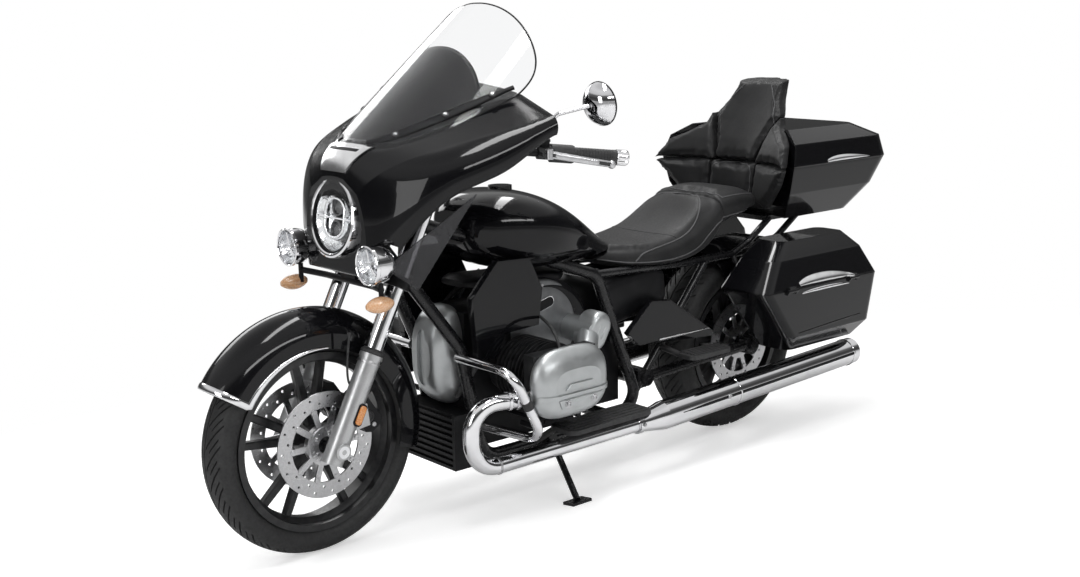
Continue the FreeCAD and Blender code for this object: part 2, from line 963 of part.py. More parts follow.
def front_discs():
    left = brake_disc(front_axle, front_disc_offset, front_hub_width / 2)
    right = mirrored(left)
    face = front_disc_offset + disc_thickness / 2
    bore = axle_radius + disc_bore_margin
    sensor = washer(front_axle, sensor_ring_radius, bore, face, face + sensor_ring_thickness)
    slot = block(V(sensor_ring_radius - sensor_ring_band, face + sensor_ring_thickness / 2,
                   -sensor_slot_width / 2),
                 V(sensor_ring_radius - sensor_slot_width / 2, face + sensor_ring_thickness + overrun,
                   sensor_slot_width / 2))
    slot.translate(front_axle)
    sensor = sensor.cut(spread(slot, front_axle, sensor_slot_count))
    return Part.makeCompound([joined(left, sensor), right])


def front_axle_bar():
    """The hollow front axle with a shouldered cap at each end."""
    half = fork_spacing / 2 + slider_radius
    bar = ring_bar(front_axle, axle_radius, -half, half)
    cap = ring_bar(front_axle, axle_nut_radius, half, half + axle_nut_length)
    axle = joined(bar, cap, mirrored(cap))
    return axle.cut(ring_bar(front_axle, axle_bore_radius, -fork_spacing, fork_spacing))


# Fork and what it carries, in the frame of the fork

def fork_leg():
    """A lower fork leg with its axle clamp and the lug that holds the brake caliper."""
    half = fork_spacing / 2
    sleeve = rod(V(0, half, -slider_bottom), V(0, half, slider_top), slider_radius)
    collar = rod(V(0, half, slider_top), V(0, half, slider_top + slider_collar_height),
                 slider_collar_radius)
    leg = placed(joined(sleeve, collar), fork_frame)
    leg = leg.cut(rod(placed_point(0, half, slider_top - overrun), placed_point(0, half, tube_top),
                      tube_radius))
    lug_side = caliper_inner_y + caliper_width
    middle = caliper_centre()
    lug = plate(V(middle.x, lug_side + caliper_lug_thickness / 2, middle.z),
                V(placed_point(0, 0, caliper_lug_reach).x, lug_side + caliper_lug_thickness / 2,
                  placed_point(0, 0, caliper_lug_reach).z), along_y, caliper_height, caliper_lug_thickness)
    leg = joined(leg, lug)
    leg = leg.cut(rod(placed_point(0, half, slider_top - overrun), placed_point(0, half, tube_top),
                      tube_radius))
    return leg.cut(ring_bar(front_axle, axle_radius, 0, fork_spacing))


def placed_point(ahead, side, along):
    """A point given ahead of, beside and along the fork."""
    return front_axle + fork_ahead * ahead + fork_along * along + V(0, side, 0)


def fork_tube():
    half = fork_spacing / 2
    start = slider_top - overrun
    tube = rod(V(0, half, start), V(0, half, tube_top), tube_radius)
    cap = rod(V(0, half, tube_top), V(0, half, tube_top + fork_cap_height), fork_cap_radius)
    return placed(joined(tube, cap), fork_frame)


def yoke(bottom, top):
    """One fork clamp: a tapered web between the two tubes and the stem."""
    half = fork_spacing / 2
    grip = tube_radius + yoke_margin
    outline = [
        V(-grip / 2, -half, bottom), V(grip / 2, -half, bottom),
        V(yoke_front, -head_tube_radius, bottom), V(yoke_front, head_tube_radius, bottom),
        V(grip / 2, half, bottom), V(-grip / 2, half, bottom),
        V(-yoke_rear, head_tube_radius, bottom), V(-yoke_rear, -head_tube_radius, bottom),
    ]
    web = Part.Face(Part.makePolygon(outline + outline[:1])).extrude(V(0, 0, top - bottom))
    clamps = [rod(V(0, side, bottom), V(0, side, top), grip) for side in (-half, half)]
    return joined(web, *clamps)


def yokes():
    """Both fork clamps and the stem between them, as one steering assembly."""
    half = fork_spacing / 2
    stem = rod(V(steering_lead, 0, lower_yoke_bottom), V(steering_lead, 0, upper_yoke_top), stem_radius)
    body = joined(yoke(lower_yoke_bottom, lower_yoke_top), yoke(upper_yoke_bottom, upper_yoke_top), stem)
    for side in (-half, half):
        body = body.cut(rod(V(0, side, slider_top), V(0, side, tube_top), tube_radius))
    return placed(body, fork_frame)


def caliper_centre():
    angle = math.radians(caliper_angle)
    return front_axle + V(math.cos(angle), 0, math.sin(angle)) * caliper_orbit


def caliper(centre, orbit_centre, length, height, width, inner_side):
    """A brake caliper: an eight-sided body with a slot for its disc."""
    spoke_line = unit(centre - orbit_centre)
    tangent = spoke_line.cross(along_y)
    cut = height * caliper_edge_share
    corners = []
    for along, out in ((length / 2, height / 2 - cut), (length / 2 - cut, height / 2),
                       (cut - length / 2, height / 2), (-length / 2, height / 2 - cut),
                       (-length / 2, cut - height / 2), (cut - length / 2, -height / 2),
                       (length / 2 - cut, -height / 2), (length / 2, cut - height / 2)):
        corners.append(centre + tangent * along + spoke_line * out + V(0, inner_side, 0))
    face = Part.Face(Part.makePolygon(corners + corners[:1]))
    return face.extrude(V(0, width, 0))


def front_caliper():
    body = caliper(caliper_centre(), front_axle, caliper_length, caliper_height, caliper_width,
                   caliper_inner_y)
    slot = washer(front_axle, disc_radius + caliper_disc_gap, caliper_orbit - caliper_height,
                  front_disc_offset - caliper_slot / 2, front_disc_offset + caliper_slot / 2)
    return body.cut(slot)


def guard_shell(centre, radius, half_width, crown, wall, skirt, first_angle, last_angle):
    """A mudguard turned about a wheel: a round crown with a skirt down each side."""
    edge = radius - crown
    rise = crown * guard_shoulder_share
    edges = [
        Part.makeLine(V(edge - skirt, -half_width, 0), V(edge, -half_width, 0)),
        Part.Arc(V(edge, -half_width, 0), V(radius, 0, 0), V(edge, half_width, 0)).toShape(),
        Part.makeLine(V(edge, half_width, 0), V(edge - skirt, half_width, 0)),
        Part.makeLine(V(edge - skirt, half_width, 0), V(edge - skirt, half_width - wall, 0)),
        Part.makeLine(V(edge - skirt, half_width - wall, 0), V(edge, half_width - wall, 0)),
        Part.Arc(V(edge, half_width - wall, 0), V(radius - wall, 0, 0),
                 V(edge, wall - half_width, 0)).toShape(),
        Part.makeLine(V(edge, wall - half_width, 0), V(edge - skirt, wall - half_width, 0)),
        Part.makeLine(V(edge - skirt, wall - half_width, 0), V(edge - skirt, -half_width, 0)),
    ]
    face = Part.Face(Part.Wire(edges))
    shell = face.revolve(V(), along_y, first_angle - last_angle)
    shell.rotate(V(), along_y, -first_angle)
    shell.translate(centre)
    return shell


def front_mudguard():
    """The front mudguard, carried by a pad and a stay on each fork leg."""
    centre = front_axle + V(mudguard_shift_x, 0, mudguard_shift_z)
    shell = guard_shell(centre, mudguard_radius, mudguard_half_width, mudguard_crown, mudguard_wall,
                        mudguard_skirt_depth, mudguard_front_angle, mudguard_rear_angle)
    low = placed_point(-stay_length / 2, mudguard_half_width - mudguard_wall, stay_bottom)
    high = placed_point(-stay_length / 2, mudguard_half_width - mudguard_wall, stay_top)
    pad = plate(low + V(0, stay_depth / 2, 0), high + V(0, stay_depth / 2, 0), along_y, stay_length,
                stay_depth)
    tubes = pair(rod(placed_point(0, fork_spacing / 2, 0), placed_point(0, fork_spacing / 2, tube_top),
                     slider_radius))
    return joined(shell, pad, mirrored(pad)).cut(tubes)


def fairing_wire(x, half_width, low_y, low_z, crease_y, crease_z, crown_y, crown_z, inset):
    """One cross-section of the fairing: an arch over the top. An inset one reaches down past its edges."""
    middle = V(x, 0, (low_z + crown_z) / 2)
    waist_z = low_z + (crease_z - low_z) * fairing_waist_share
    side = [V(x, low_y, low_z), V(x, half_width, waist_z), V(x, crease_y, crease_z), V(x, crown_y, crown_z)]
    top = V(x, 0, crown_z + crown_y * fairing_crown_share)
    arch = side + [top] + [V(point.x, -point.y, point.z) for point in reversed(side)]
    shrunk = [point + unit(middle - point) * inset for point in arch] if inset else arch
    if inset:
        shrunk[0] = V(x, low_y - inset, low_z - fairing_bottom_reach)
        shrunk[-1] = V(x, inset - low_y, low_z - fairing_bottom_reach)
    low, waist, crease, crown, peak, far_crown, far_crease, far_waist, far_low = shrunk
    return Part.Wire([
        Part.Arc(low, waist, crease).toShape(),
        Part.makeLine(crease, crown),
        Part.Arc(crown, peak, far_crown).toShape(),
        Part.makeLine(far_crown, far_crease),
        Part.Arc(far_crease, far_waist, far_low).toShape(),
        Part.makeLine(far_low, low),
    ])


def fairing_station(shares, inset, shift):
    at, wide, low_wide, low, crease_wide, crease, crown_wide, crown = shares
    return fairing_wire(
        fairing_nose_x - at * fairing_length + shift,
        wide * fairing_half_width, low_wide * fairing_half_width, fairing_bottom + low * fairing_height,
        crease_wide * fairing_half_width, fairing_bottom + crease * fairing_height,
        crown_wide * fairing_half_width, fairing_bottom + crown * fairing_height, inset)


def fairing_body():
    wires = [fairing_station(shares, 0, 0) for shares in fairing_station_shares]
    return Part.makeLoft(wires, True, False, False, loft_degree)


def fairing_space():
    """The room inside the fairing, open to the rear and below."""
    wires = [fairing_station(shares, fairing_wall, -fairing_wall) for shares in fairing_station_shares]
    wires.append(fairing_station(fairing_station_shares[-1], fairing_wall, -fairing_wall - overrun))
    return Part.makeLoft(wires, True, False, False, loft_degree)


def headlamp():
    """The headlamp: a bowl with a raised ring, tilted back a little."""
    ring_radius = headlamp_radius + headlamp_ring_width
    outline = [
        (0, headlamp_ring_width), (headlamp_radius, headlamp_ring_width / 2),
        (headlamp_radius, headlamp_ring_width),
        (ring_radius, headlamp_ring_width / 2), (ring_radius, -headlamp_ring_width),
        (headlamp_radius, -headlamp_depth / 2),
        (headlamp_radius / 2, -headlamp_depth), (0, -headlamp_depth),
    ]
    points = [V(out, 0, radius) for radius, out in outline]
    bowl = Part.Face(Part.makePolygon(points + points[:1])).revolve(V(), V(1, 0, 0), full_turn)
    frame = FreeCAD.Placement(V(headlamp_front_x, 0, headlamp_height),
                              FreeCAD.Rotation(along_y, -headlamp_tilt))
    return placed(bowl, frame)


def screen_outline(low, high):
    """A prism that trims the screen: narrow at its base, widest past half way, round at the top."""
    half = [V(at * screen_length, wide * screen_half_width, low) for at, wide in screen_outline_shares]
    points = half + [V(point.x, -point.y, point.z) for point in reversed(half[1:-1])]
    curve = Part.BSplineCurve()
    curve.interpolate(Points=points, PeriodicFlag=True)
    return Part.Face(Part.Wire(curve.toShape())).extrude(V(0, 0, high - low))


def in_screen_frame(shape):
    """From the screen's own frame, X up its slope and Z square to it, to the machine's."""
    slope = FreeCAD.Rotation(V(0, 0, 1), half_turn).multiply(FreeCAD.Rotation(along_y, -screen_slope))
    return placed(shape, FreeCAD.Placement(V(screen_base_x, 0, screen_base_z), slope))


def windscreen():
    """The screen: a sheet bent about its centre line and trimmed to its outline."""
    axis = V(-overrun, 0, -screen_bend_radius)
    outer = Part.makeCylinder(screen_bend_radius, screen_length + 2 * overrun, axis, V(1, 0, 0))
    inner = Part.makeCylinder(screen_bend_radius - screen_wall, screen_length + 2 * overrun, axis,
                              V(1, 0, 0))
    sheet = outer.cut(inner).common(screen_outline(-screen_bend_radius, screen_length))
    return in_screen_frame(sheet)


def instrument_panel(space):
    """The inner panel of the fairing, with round dials and a wide display."""
    slab = block(V(-dash_depth, -fairing_half_width, 0), V(0, fairing_half_width, dash_height))
    lean_back = FreeCAD.Placement(V(dash_front_x, 0, dash_bottom), FreeCAD.Rotation(along_y, dash_lean))
    panel = placed(slab, lean_back).common(space)
    dials = []
    for index in range(gauge_count):
        side = gauge_first_y + index * gauge_spacing
        dial = rod(V(-dash_depth - gauge_height, side, gauge_centre_height),
                   V(0, side, gauge_centre_height), gauge_radius)
        dials.append(placed(dial, lean_back))
        dials.append(mirrored(dials[-1]))
    display = block(V(-dash_depth - gauge_height, -display_width / 2, display_bottom),
                    V(0, display_width / 2, display_bottom + display_height))
    root = placed_point(steering_lead - dash_foot_setback, 0, upper_yoke_top)
    feet = [rod(V(root.x, side, root.z), V(root.x, side, root.z + dash_foot_rise), dash_foot_radius)
            for side in (-dash_foot_y, dash_foot_y)]
    return joined(panel, placed(display, lean_back), *dials, *feet)


def fairing_bracket():
    """The carrier from the fork clamps to the headlamp, and the bent bar for the outer lamps."""
    root = placed_point(yoke_front - bracket_thickness, 0, (lower_yoke_bottom + lower_yoke_top) / 2)
    knee = V(lamp_bar_x, 0, root.z)
    arm = plate(root, knee + V(bracket_thickness / 2, 0, 0), V(0, 0, 1), bracket_width, bracket_thickness)
    post = plate(V(lamp_bar_x, 0, lamp_bar_z), V(lamp_bar_x, 0, headlamp_height), V(1, 0, 0), bracket_width,
                 bracket_thickness)
    half = [V(lamp_bar_x, 0, lamp_bar_z), V(lamp_bar_x, lamp_bar_bend_y, lamp_bar_z),
            V(lamp_x - lamp_depth / 2, lamp_y, lamp_bar_end_z)]
    bar = pipe([V(point.x, -point.y, point.z) for point in reversed(half[1:])] + half[1:], lamp_bar_bend,
               lamp_bar_radius)
    posts = []
    for side in (-lamp_y, lamp_y):
        foot = V(lamp_x - lamp_depth / 2, side, indicator_z)
        posts.append(rod(foot, V(foot.x, side, lamp_z - lamp_radius + lamp_post_radius), lamp_post_radius))
    return joined(arm, post, bar, *posts)


def fog_lamp():
    """A bullet-shaped lamp: a straight barrel with a half-round back."""
    back = V(lamp_x - lamp_depth + lamp_radius, lamp_y, lamp_z)
    barrel = rod(back, V(lamp_x + lamp_bezel, lamp_y, lamp_z), lamp_radius)
    return joined(barrel, Part.makeSphere(lamp_radius, back))


def lamp_pocket():
    """The round room that the fairing leaves for a fog lamp."""
    back = V(lamp_x - lamp_depth - overrun, lamp_y, lamp_z)
    return rod(back, V(lamp_x + lamp_bezel + overrun, lamp_y, lamp_z), lamp_radius + seat_gap)


def turn_signal():
    """A leaf-shaped turn signal on the end of its post."""
    wires = []
    for at, wide, high in indicator_station_shares:
        centre = V(indicator_x + indicator_length * (indicator_set_share - at), indicator_y, indicator_z)
        wires.append(oval(centre, indicator_thickness / 2 * wide, indicator_height / 2 * high, 2, "x"))
    return Part.makeLoft(wires, True)


def wind_deflector(neighbours):
    """A smoky flap below each side of the fairing, up to its lower edge."""
    corners = [V(x, y, z) for x, y, z in (
        (deflector_front_x, deflector_front_y, deflector_top_z),
        (deflector_rear_x, deflector_rear_y, deflector_rear_z),
        (deflector_low_x, deflector_low_y, deflector_low_z))]
    face = Part.Face(Part.makePolygon(corners + corners[:1]))
    flap = face.extrude(face.normalAt(0, 0) * deflector_thickness)
    return flap.cut(neighbours)


def handlebar_points():
    half = [
        V(bar_rise_x, bar_clamp_half_width, bar_rise_z), V(bar_shoulder_x, bar_shoulder_y, bar_shoulder_z),
        V(bar_bend_x, bar_bend_y, bar_bend_z), V(bar_end_x, bar_end_y, bar_end_z),
    ]
    return half


def handlebar():
    """The handlebar, with its two risers on the upper fork clamp."""
    half = handlebar_points()
    half[-1] = bar_point(-grip_cap_length)
    other = [V(point.x, -point.y, point.z) for point in reversed(half)]
    bar = pipe(other + half, bar_bend_radius, bar_radius)
    risers = [rod(V(bar_rise_x, side, bar_rise_z), V(placed_point(0, 0, upper_yoke_top).x, side,
                  placed_point(0, 0, upper_yoke_top).z) + fork_ahead * riser_lead, riser_radius)
              for side in (-riser_y, riser_y)]
    return joined(bar, *risers)


def bar_point(from_end):
    """A point on the last run of the left handlebar, measured outward from its end."""
    bend, end = handlebar_points()[-2:]
    return end + unit(end - bend) * from_end


def hand_control():
    """Grip, bar-end weight, switch housing, fluid reservoir and lever on the left of the bar."""
    bend, end = handlebar_points()[-2:]
    along = unit(end - bend)
    forward = unit(V(-along.y, along.x, 0)) * -1
    grip_end = bar_point(-grip_cap_length)
    grip_start = grip_end - along * grip_length
    switch_start = grip_start - along * switch_length
    perch_start = switch_start - along * reservoir_length
    grip = rod(grip_start, grip_end, grip_radius)
    cap = rod(grip_end, end, grip_cap_radius)
    switch = rod(switch_start, grip_start, switch_radius)
    perch = rod(perch_start, switch_start, grip_cap_radius)
    pivot = perch_start + along * (reservoir_length / 2) + forward * lever_forward
    arm = plate(perch_start + along * (reservoir_length / 2), pivot, V(0, 0, 1), reservoir_length,
                lever_thickness)
    tip = pivot + along * lever_length + V(0, 0, -lever_drop)
    lever = plate(pivot, tip, V(0, 0, 1), lever_width, lever_thickness)
    ball = Part.makeSphere(lever_thickness, tip)
    body = joined(grip, cap, switch, perch, arm, lever, ball)
    return body.cut(rod(bend, grip_end, bar_radius))


def mirror():
    """A round-cornered mirror shell on a thin stalk from the handlebar."""
    centre = V(mirror_x, mirror_y, mirror_z)
    foot = bar_point(-grip_cap_length - grip_length - switch_length - reservoir_length
                     - mirror_foot_length / 2)
    elbow = V(mirror_elbow_x, mirror_elbow_y, mirror_elbow_z)
    stalk = pipe([foot, elbow, centre], mirror_bend_radius, mirror_stalk_radius)
    back = V(mirror_depth, 0, 0)
    edges = [
        Part.makeLine(V(), V(0, 0, mirror_radius)),
        Part.Arc(V(0, 0, mirror_radius),
                 V(mirror_depth * mirror_bulge_share, 0, mirror_radius * mirror_bulge_share),
                 back).toShape(),
        Part.makeLine(back, V()),
    ]
    shell = Part.Face(Part.Wire(edges)).revolve(V(), V(1, 0, 0), full_turn)
    shell = placed(shell,
                   FreeCAD.Placement(centre - V(mirror_depth / 2, 0, 0),
                                     FreeCAD.Rotation(along_y, mirror_tilt)))
    return joined(shell, stalk)


# Frame and engine

def frame():
    """Head tube, two top rails that become the rear uprights, cradle tubes and downtubes."""
    head_low = V(steering_lead, 0, lower_yoke_top + bearing_gap)
    head_high = V(steering_lead, 0, upper_yoke_bottom - bearing_gap)
    head = placed(rod(head_low, head_high, head_tube_radius), fork_frame)
    top = placed_point(steering_lead, head_rail_y, rail_start)
    low = placed_point(steering_lead, head_rail_y, downtube_start)
    loop = [
        top, V(frame_knee_x, frame_half_spacing, frame_knee_z),
        V(frame_heel_x, frame_half_spacing, frame_heel_z),
        V(frame_heel_x + frame_heel_run, cradle_half_spacing, cradle_z),
        V(cradle_front_x, cradle_half_spacing, cradle_z),
        V(downtube_x, cradle_half_spacing, downtube_low_z),
        V(downtube_mid_x, cradle_half_spacing, downtube_mid_z), low,
    ]
    side = pipe(loop, frame_bend_radius, frame_tube_radius)
    cross = ring_bar(V(frame_heel_x + frame_heel_run, 0, cradle_z), frame_tube_radius, -cradle_half_spacing,
                     cradle_half_spacing)
    knee_cross = ring_bar(V(frame_knee_x, 0, frame_knee_z), frame_tube_radius, -frame_half_spacing,
                          frame_half_spacing)
    pivot = ring_bar(V(arm_pivot_x, 0, arm_pivot_z), pivot_boss_radius, -frame_half_spacing,
                     frame_half_spacing)
    gusset = plate(V(frame_heel_x, frame_half_spacing, arm_pivot_z),
                   V(arm_pivot_x, frame_half_spacing, arm_pivot_z),
                   along_y, pivot_boss_radius * 2, frame_tube_radius)
    body = joined(head, side, mirrored(side), cross, knee_cross, pivot, gusset, mirrored(gusset))
    bore = placed(rod(V(steering_lead, 0, lower_yoke_top - overrun),
                      V(steering_lead, 0, upper_yoke_bottom + overrun),
                      stem_radius + running_gap), fork_frame)
    return body.cut(bore)


def subframe(main):
    """Seat rails, struts, the two rack legs each side, the rack plate and the pannier brackets."""
    start = V(frame_knee_x, frame_half_spacing, frame_knee_z)
    rail = pipe([start, V(rail_bend_x, subframe_half_spacing, subframe_z),
                 V(subframe_end_x, subframe_half_spacing, subframe_z)],
                frame_bend_radius, subframe_radius)
    strut = rod(V(strut_low_x, frame_half_spacing, strut_low_z),
                V(strut_top_x, subframe_half_spacing, subframe_z), subframe_radius)
    pieces = [rail, strut]
    for foot_x in (rack_front_x, rack_rear_x):
        pieces.append(pipe([V(foot_x, subframe_half_spacing, subframe_z),
                            V(foot_x - rack_leg_step, rack_y, rack_elbow_z),
                            V(foot_x - rack_leg_lean, rack_y,
                              rack_plate_bottom + rack_plate_thickness / 2)],
                           rack_bend_radius, rack_radius))
        pieces.append(pipe([V(foot_x, subframe_half_spacing, subframe_z),
                            V(foot_x, pannier_bracket_y, pannier_bracket_top_z),
                            V(foot_x, pannier_bracket_y, pannier_bracket_z),
                            V(foot_x, pannier_inner_y, pannier_bracket_z)],
                           rack_bend_radius, pannier_bracket_radius))
    tray = block(V(rack_plate_rear_x, -rack_y, rack_plate_bottom),
                 V(rack_plate_front_x, rack_y, rack_plate_bottom + rack_plate_thickness))
    cross = ring_bar(V(subframe_end_x, 0, subframe_z), subframe_radius, -subframe_half_spacing,
                     subframe_half_spacing)
    side = joined(*pieces)
    return joined(side, mirrored(side), tray, cross).cut(main)


def engine_block():
    """Round upper housing, front case, sump and gearbox, with lugs that reach the frame."""
    dome = ring_bar(V(dome_x, 0, dome_z), dome_radius, -dome_half_width, dome_half_width)
    dome = dome.makeChamfer(dome_edge, dome.Edges)
    front = block(V(dome_x, -case_half_width_front, front_case_bottom),
                  V(front_case_x, case_half_width_front, front_case_top))
    sump = block(V(sump_rear_x, -sump_half_width, sump_bottom),
                 V(sump_front_x, sump_half_width, front_case_bottom + overrun))
    gearbox = block(V(gearbox_rear_x, -gearbox_half_width, gearbox_bottom),
                    V(sump_rear_x + dome_radius, gearbox_half_width, gearbox_top))
    lug = ring_bar(V(engine_lug_x, 0, engine_lug_z), engine_lug_radius, -frame_half_spacing,
                   frame_half_spacing)
    return joined(dome, front, sump, gearbox, lug)


def engine_cover(case):
    """The shield-shaped front cover, tapering to its face, with an upright recess in it."""
    wires = []
    for at, wide, low, high in engine_cover_station_shares:
        bottom = engine_cover_bottom + low * (engine_cover_top - engine_cover_bottom)
        top = engine_cover_bottom + high * (engine_cover_top - engine_cover_bottom)
        x = front_case_x - overrun + at * (engine_cover_front_x - front_case_x + overrun)
        wires.append(oval(V(x, 0, (bottom + top) / 2), wide * engine_cover_half_width, (top - bottom) / 2,
                          cover_power, "x"))
    middle = V(engine_cover_front_x - engine_recess_depth, 0, (engine_cover_bottom + engine_cover_top) / 2)
    outline = oval(middle, engine_recess_half_width, engine_recess_half_height, cover_power, "x")
    recess = Part.Face(outline).extrude(V(engine_recess_depth + overrun, 0, 0))
    return Part.makeLoft(wires, True).cut([case, recess])


def oil_cooler(main, case):
    """The cooler low at the front, with a stack of louvres."""
    body = block(V(oil_cooler_front_x - oil_cooler_depth, -oil_cooler_half_width, oil_cooler_bottom),
                 V(oil_cooler_front_x, oil_cooler_half_width, oil_cooler_top))
    pitch = (oil_cooler_top - oil_cooler_bottom) / louvre_count
    gaps = []
    for index in range(louvre_count):
        low = oil_cooler_bottom + pitch * (index + louvre_gap_share)
        gaps.append(block(V(oil_cooler_front_x - louvre_depth, -oil_cooler_half_width + louvre_margin, low),
                          V(oil_cooler_front_x + overrun, oil_cooler_half_width - louvre_margin,
                            low + pitch * louvre_gap_share)))
    return body.cut(gaps).cut([main, case])


def cylinder(case):
    """A finned barrel with the cylinder head at its end."""
    centre = V(cylinder_x, 0, cylinder_z)
    barrel = ring_bar(centre, cylinder_radius, case_half_width_front - overrun, cylinder_end_y)
    fins = []
    pitch = (cylinder_end_y - cylinder_fin_start_y) / cylinder_fin_count
    for index in range(cylinder_fin_count):
        low = cylinder_fin_start_y + pitch * index
        fins.append(ring_bar(centre, cylinder_fin_radius, low, low + cylinder_fin_thickness))
    head = block(V(cylinder_x - head_length / 2, cylinder_end_y, cylinder_z - head_height / 2),
                 V(cylinder_x + head_length / 2, cylinder_end_y + head_depth, cylinder_z + head_height / 2))
    return joined(barrel, *fins, head).cut(case)


def head_cover():
    """The rounded head cover with a level rib across its face."""
    level = cylinder_z - head_rib_drop
    rib = head_cover_body(head_cover_depth + head_rib_height).common(slab(level - head_rib_width / 2,
                                                                          level + head_rib_width / 2))
    return joined(head_cover_body(head_cover_depth), rib)


def head_cover_body(depth):
    wires = []
    for at, long, high in head_cover_station_shares:
        centre = V(cylinder_x, cylinder_end_y + head_depth + at * depth, cylinder_z)
        ring = oval(V(), long * head_cover_length / 2, high * head_cover_height / 2, head_cover_power, "z")
        ring = placed(ring, FreeCAD.Placement(centre, FreeCAD.Rotation(V(1, 0, 0), quarter_turn)))
        wires.append(ring)
    return Part.makeLoft(wires, True)


def intake(case, barrel):
    """The intake tube from the housing to the back of the cylinder head, with its round cover."""
    tube = rod(V(intake_x, dome_half_width / 2, intake_z), V(intake_x, intake_end_y, intake_z),
               intake_radius)
    link = rod(V(intake_x, intake_end_y - intake_radius, intake_z),
               V(cylinder_x - head_length / 2 + overrun, cylinder_end_y + head_depth * intake_port_share,
               cylinder_z + head_height * intake_port_share), intake_radius * intake_link_share)
    return joined(tube, link).cut([case, barrel])


def exhaust(neighbours):
    """A header that loops down in front of the cylinder and runs back into a long silencer."""
    port = V(cylinder_x + head_length / 2 - overrun, header_port_y, header_port_z)
    route = [port, V(header_front_x, header_front_y, header_port_z),
             V(header_front_x, header_front_y, header_low_z),
             V(silencer_front_x, silencer_y, silencer_front_z)]
    header = pipe(route, header_bend_radius, header_radius)
    start = V(silencer_front_x, silencer_y, silencer_front_z)
    end = V(silencer_end_x, silencer_y, silencer_end_z)
    along = unit(end - start)
    shoulder = start + along * silencer_cone_length
    cone = Part.makeCone(header_radius, silencer_radius, silencer_cone_length, start, along)
    body = rod(shoulder, end, silencer_radius)
    hollow = rod(end - along * silencer_tip_depth, end + along * overrun, silencer_radius - silencer_wall)
    return joined(header, cone, body).cut([hollow] + neighbours)


def crash_bar(main):
    """A loop in front of the cylinder, from the downtube out, down and back to the cradle."""
    route = [
        V(crash_bar_front_x, cradle_half_spacing, crash_bar_top_z),
        V(crash_bar_front_x, crash_bar_outer_y, crash_bar_top_z),
        V(crash_bar_low_x, crash_bar_outer_y, crash_bar_low_z),
        V(crash_bar_foot_x, cradle_half_spacing, crash_bar_foot_z),
    ]
    return pipe(route, crash_bar_bend, crash_bar_radius).cut(main)


def fuel_tank(main, rear_frame):
    """The drop-shaped tank on the top rails, with its filler cap."""
    body = hull(tank_front_x, tank_length, tank_half_width, tank_bottom, tank_height, tank_station_shares,
                tank_power)
    cap_x = tank_front_x - filler_cap_share * tank_length
    cap = rod(V(cap_x, 0, tank_bottom + tank_height / 2),
              V(cap_x, 0, tank_bottom + tank_height + filler_cap_height), filler_cap_radius)
    return joined(body, cap).cut([main, rear_frame])


def shroud(tank, barrel, main):
    """The black panel between tank, frame and cylinder."""
    panel = side_panel(shroud_front_x, shroud_length, shroud_bottom, shroud_height, shroud_outline_shares,
                       shroud_y, shroud_y + shroud_thickness)
    return panel.cut([tank, barrel, main])


def side_cover(main, rear_frame):
    """The cover below the seat, held by two posts on the frame strut."""
    panel = side_panel(side_cover_front_x, side_cover_length, side_cover_bottom, side_cover_height,
                       side_cover_outline_shares, side_cover_y, side_cover_y + side_cover_thickness)
    posts = []
    for share in side_cover_post_shares:
        at = V(strut_low_x, 0,
               strut_low_z) + (V(strut_top_x, 0, subframe_z) - V(strut_low_x, 0, strut_low_z)) * share
        posts.append(rod(at + V(0, frame_half_spacing, 0),
                         at + V(0, side_cover_y + side_cover_thickness / 2, 0), side_cover_post_radius))
    return joined(panel, *posts).cut([main, rear_frame])


def rider_seat(neighbours):
    body = hull(seat_front_x, rider_seat_length, rider_seat_half_width, rider_seat_bottom,
                rider_seat_height,
                rider_station_shares, seat_power)
    return body.cut(neighbours)


def pillion_seat(neighbours):
    body = hull(seat_front_x - rider_seat_length, pillion_seat_length, pillion_seat_half_width,
                pillion_seat_bottom,
                pillion_seat_height, pillion_station_shares, seat_power)
    return body.cut(neighbours)


def rear_arm(neighbours):
    """The rear suspension arm, with the shaft housing and final drive on the right and the axle."""
    pivot = V(arm_pivot_x, 0, arm_pivot_z)
    pieces = [ring_bar(pivot, arm_sleeve_radius, side * frame_half_spacing - arm_radius,
                       side * frame_half_spacing + arm_radius)
              for side in (-1, 1)]
    left = rod(V(arm_pivot_x, arm_half_spacing, arm_pivot_z), V(rear_axle.x, arm_half_spacing, rear_axle.z),
               arm_radius)
    right = rod(V(arm_pivot_x, -arm_half_spacing, arm_pivot_z),
                V(rear_axle.x, -arm_half_spacing, rear_axle.z), shaft_housing_radius)
    drive = ring_bar(rear_axle, final_drive_radius, -final_drive_inner_y - final_drive_width,
                     -final_drive_inner_y)
    drive = drive.makeChamfer(final_drive_edge, drive.Edges)
    eye = ring_bar(rear_axle, axle_eye_radius, arm_half_spacing - arm_radius, arm_half_spacing + arm_radius)
    axle = ring_bar(rear_axle, axle_radius, -final_drive_inner_y - overrun,
                    arm_half_spacing + arm_radius + axle_nut_length)
    nut = ring_bar(rear_axle, axle_nut_radius, arm_half_spacing + arm_radius,
                   arm_half_spacing + arm_radius + axle_nut_length)
    lug = plate(rear_axle + V(0, rear_lug_y, 0), rear_caliper_centre() + V(0, rear_lug_y, 0), along_y,
                rear_caliper_height,
                caliper_lug_thickness)
    body = joined(left, right, drive, eye, axle, nut, lug, *pieces)
    return body.cut(neighbours)


def rear_caliper_centre():
    angle = math.radians(rear_caliper_angle)
    return rear_axle + V(math.cos(angle), 0, math.sin(angle)) * caliper_orbit


def rear_caliper():
    inner = rear_lug_y - caliper_lug_thickness / 2 - rear_caliper_width
    body = caliper(rear_caliper_centre(), rear_axle, rear_caliper_length, rear_caliper_height,
                   rear_caliper_width, inner)
    slot = washer(rear_axle, disc_radius + caliper_disc_gap, caliper_orbit - rear_caliper_height,
                  rear_disc_offset - caliper_slot / 2, rear_disc_offset + caliper_slot / 2)
    return body.cut(slot)


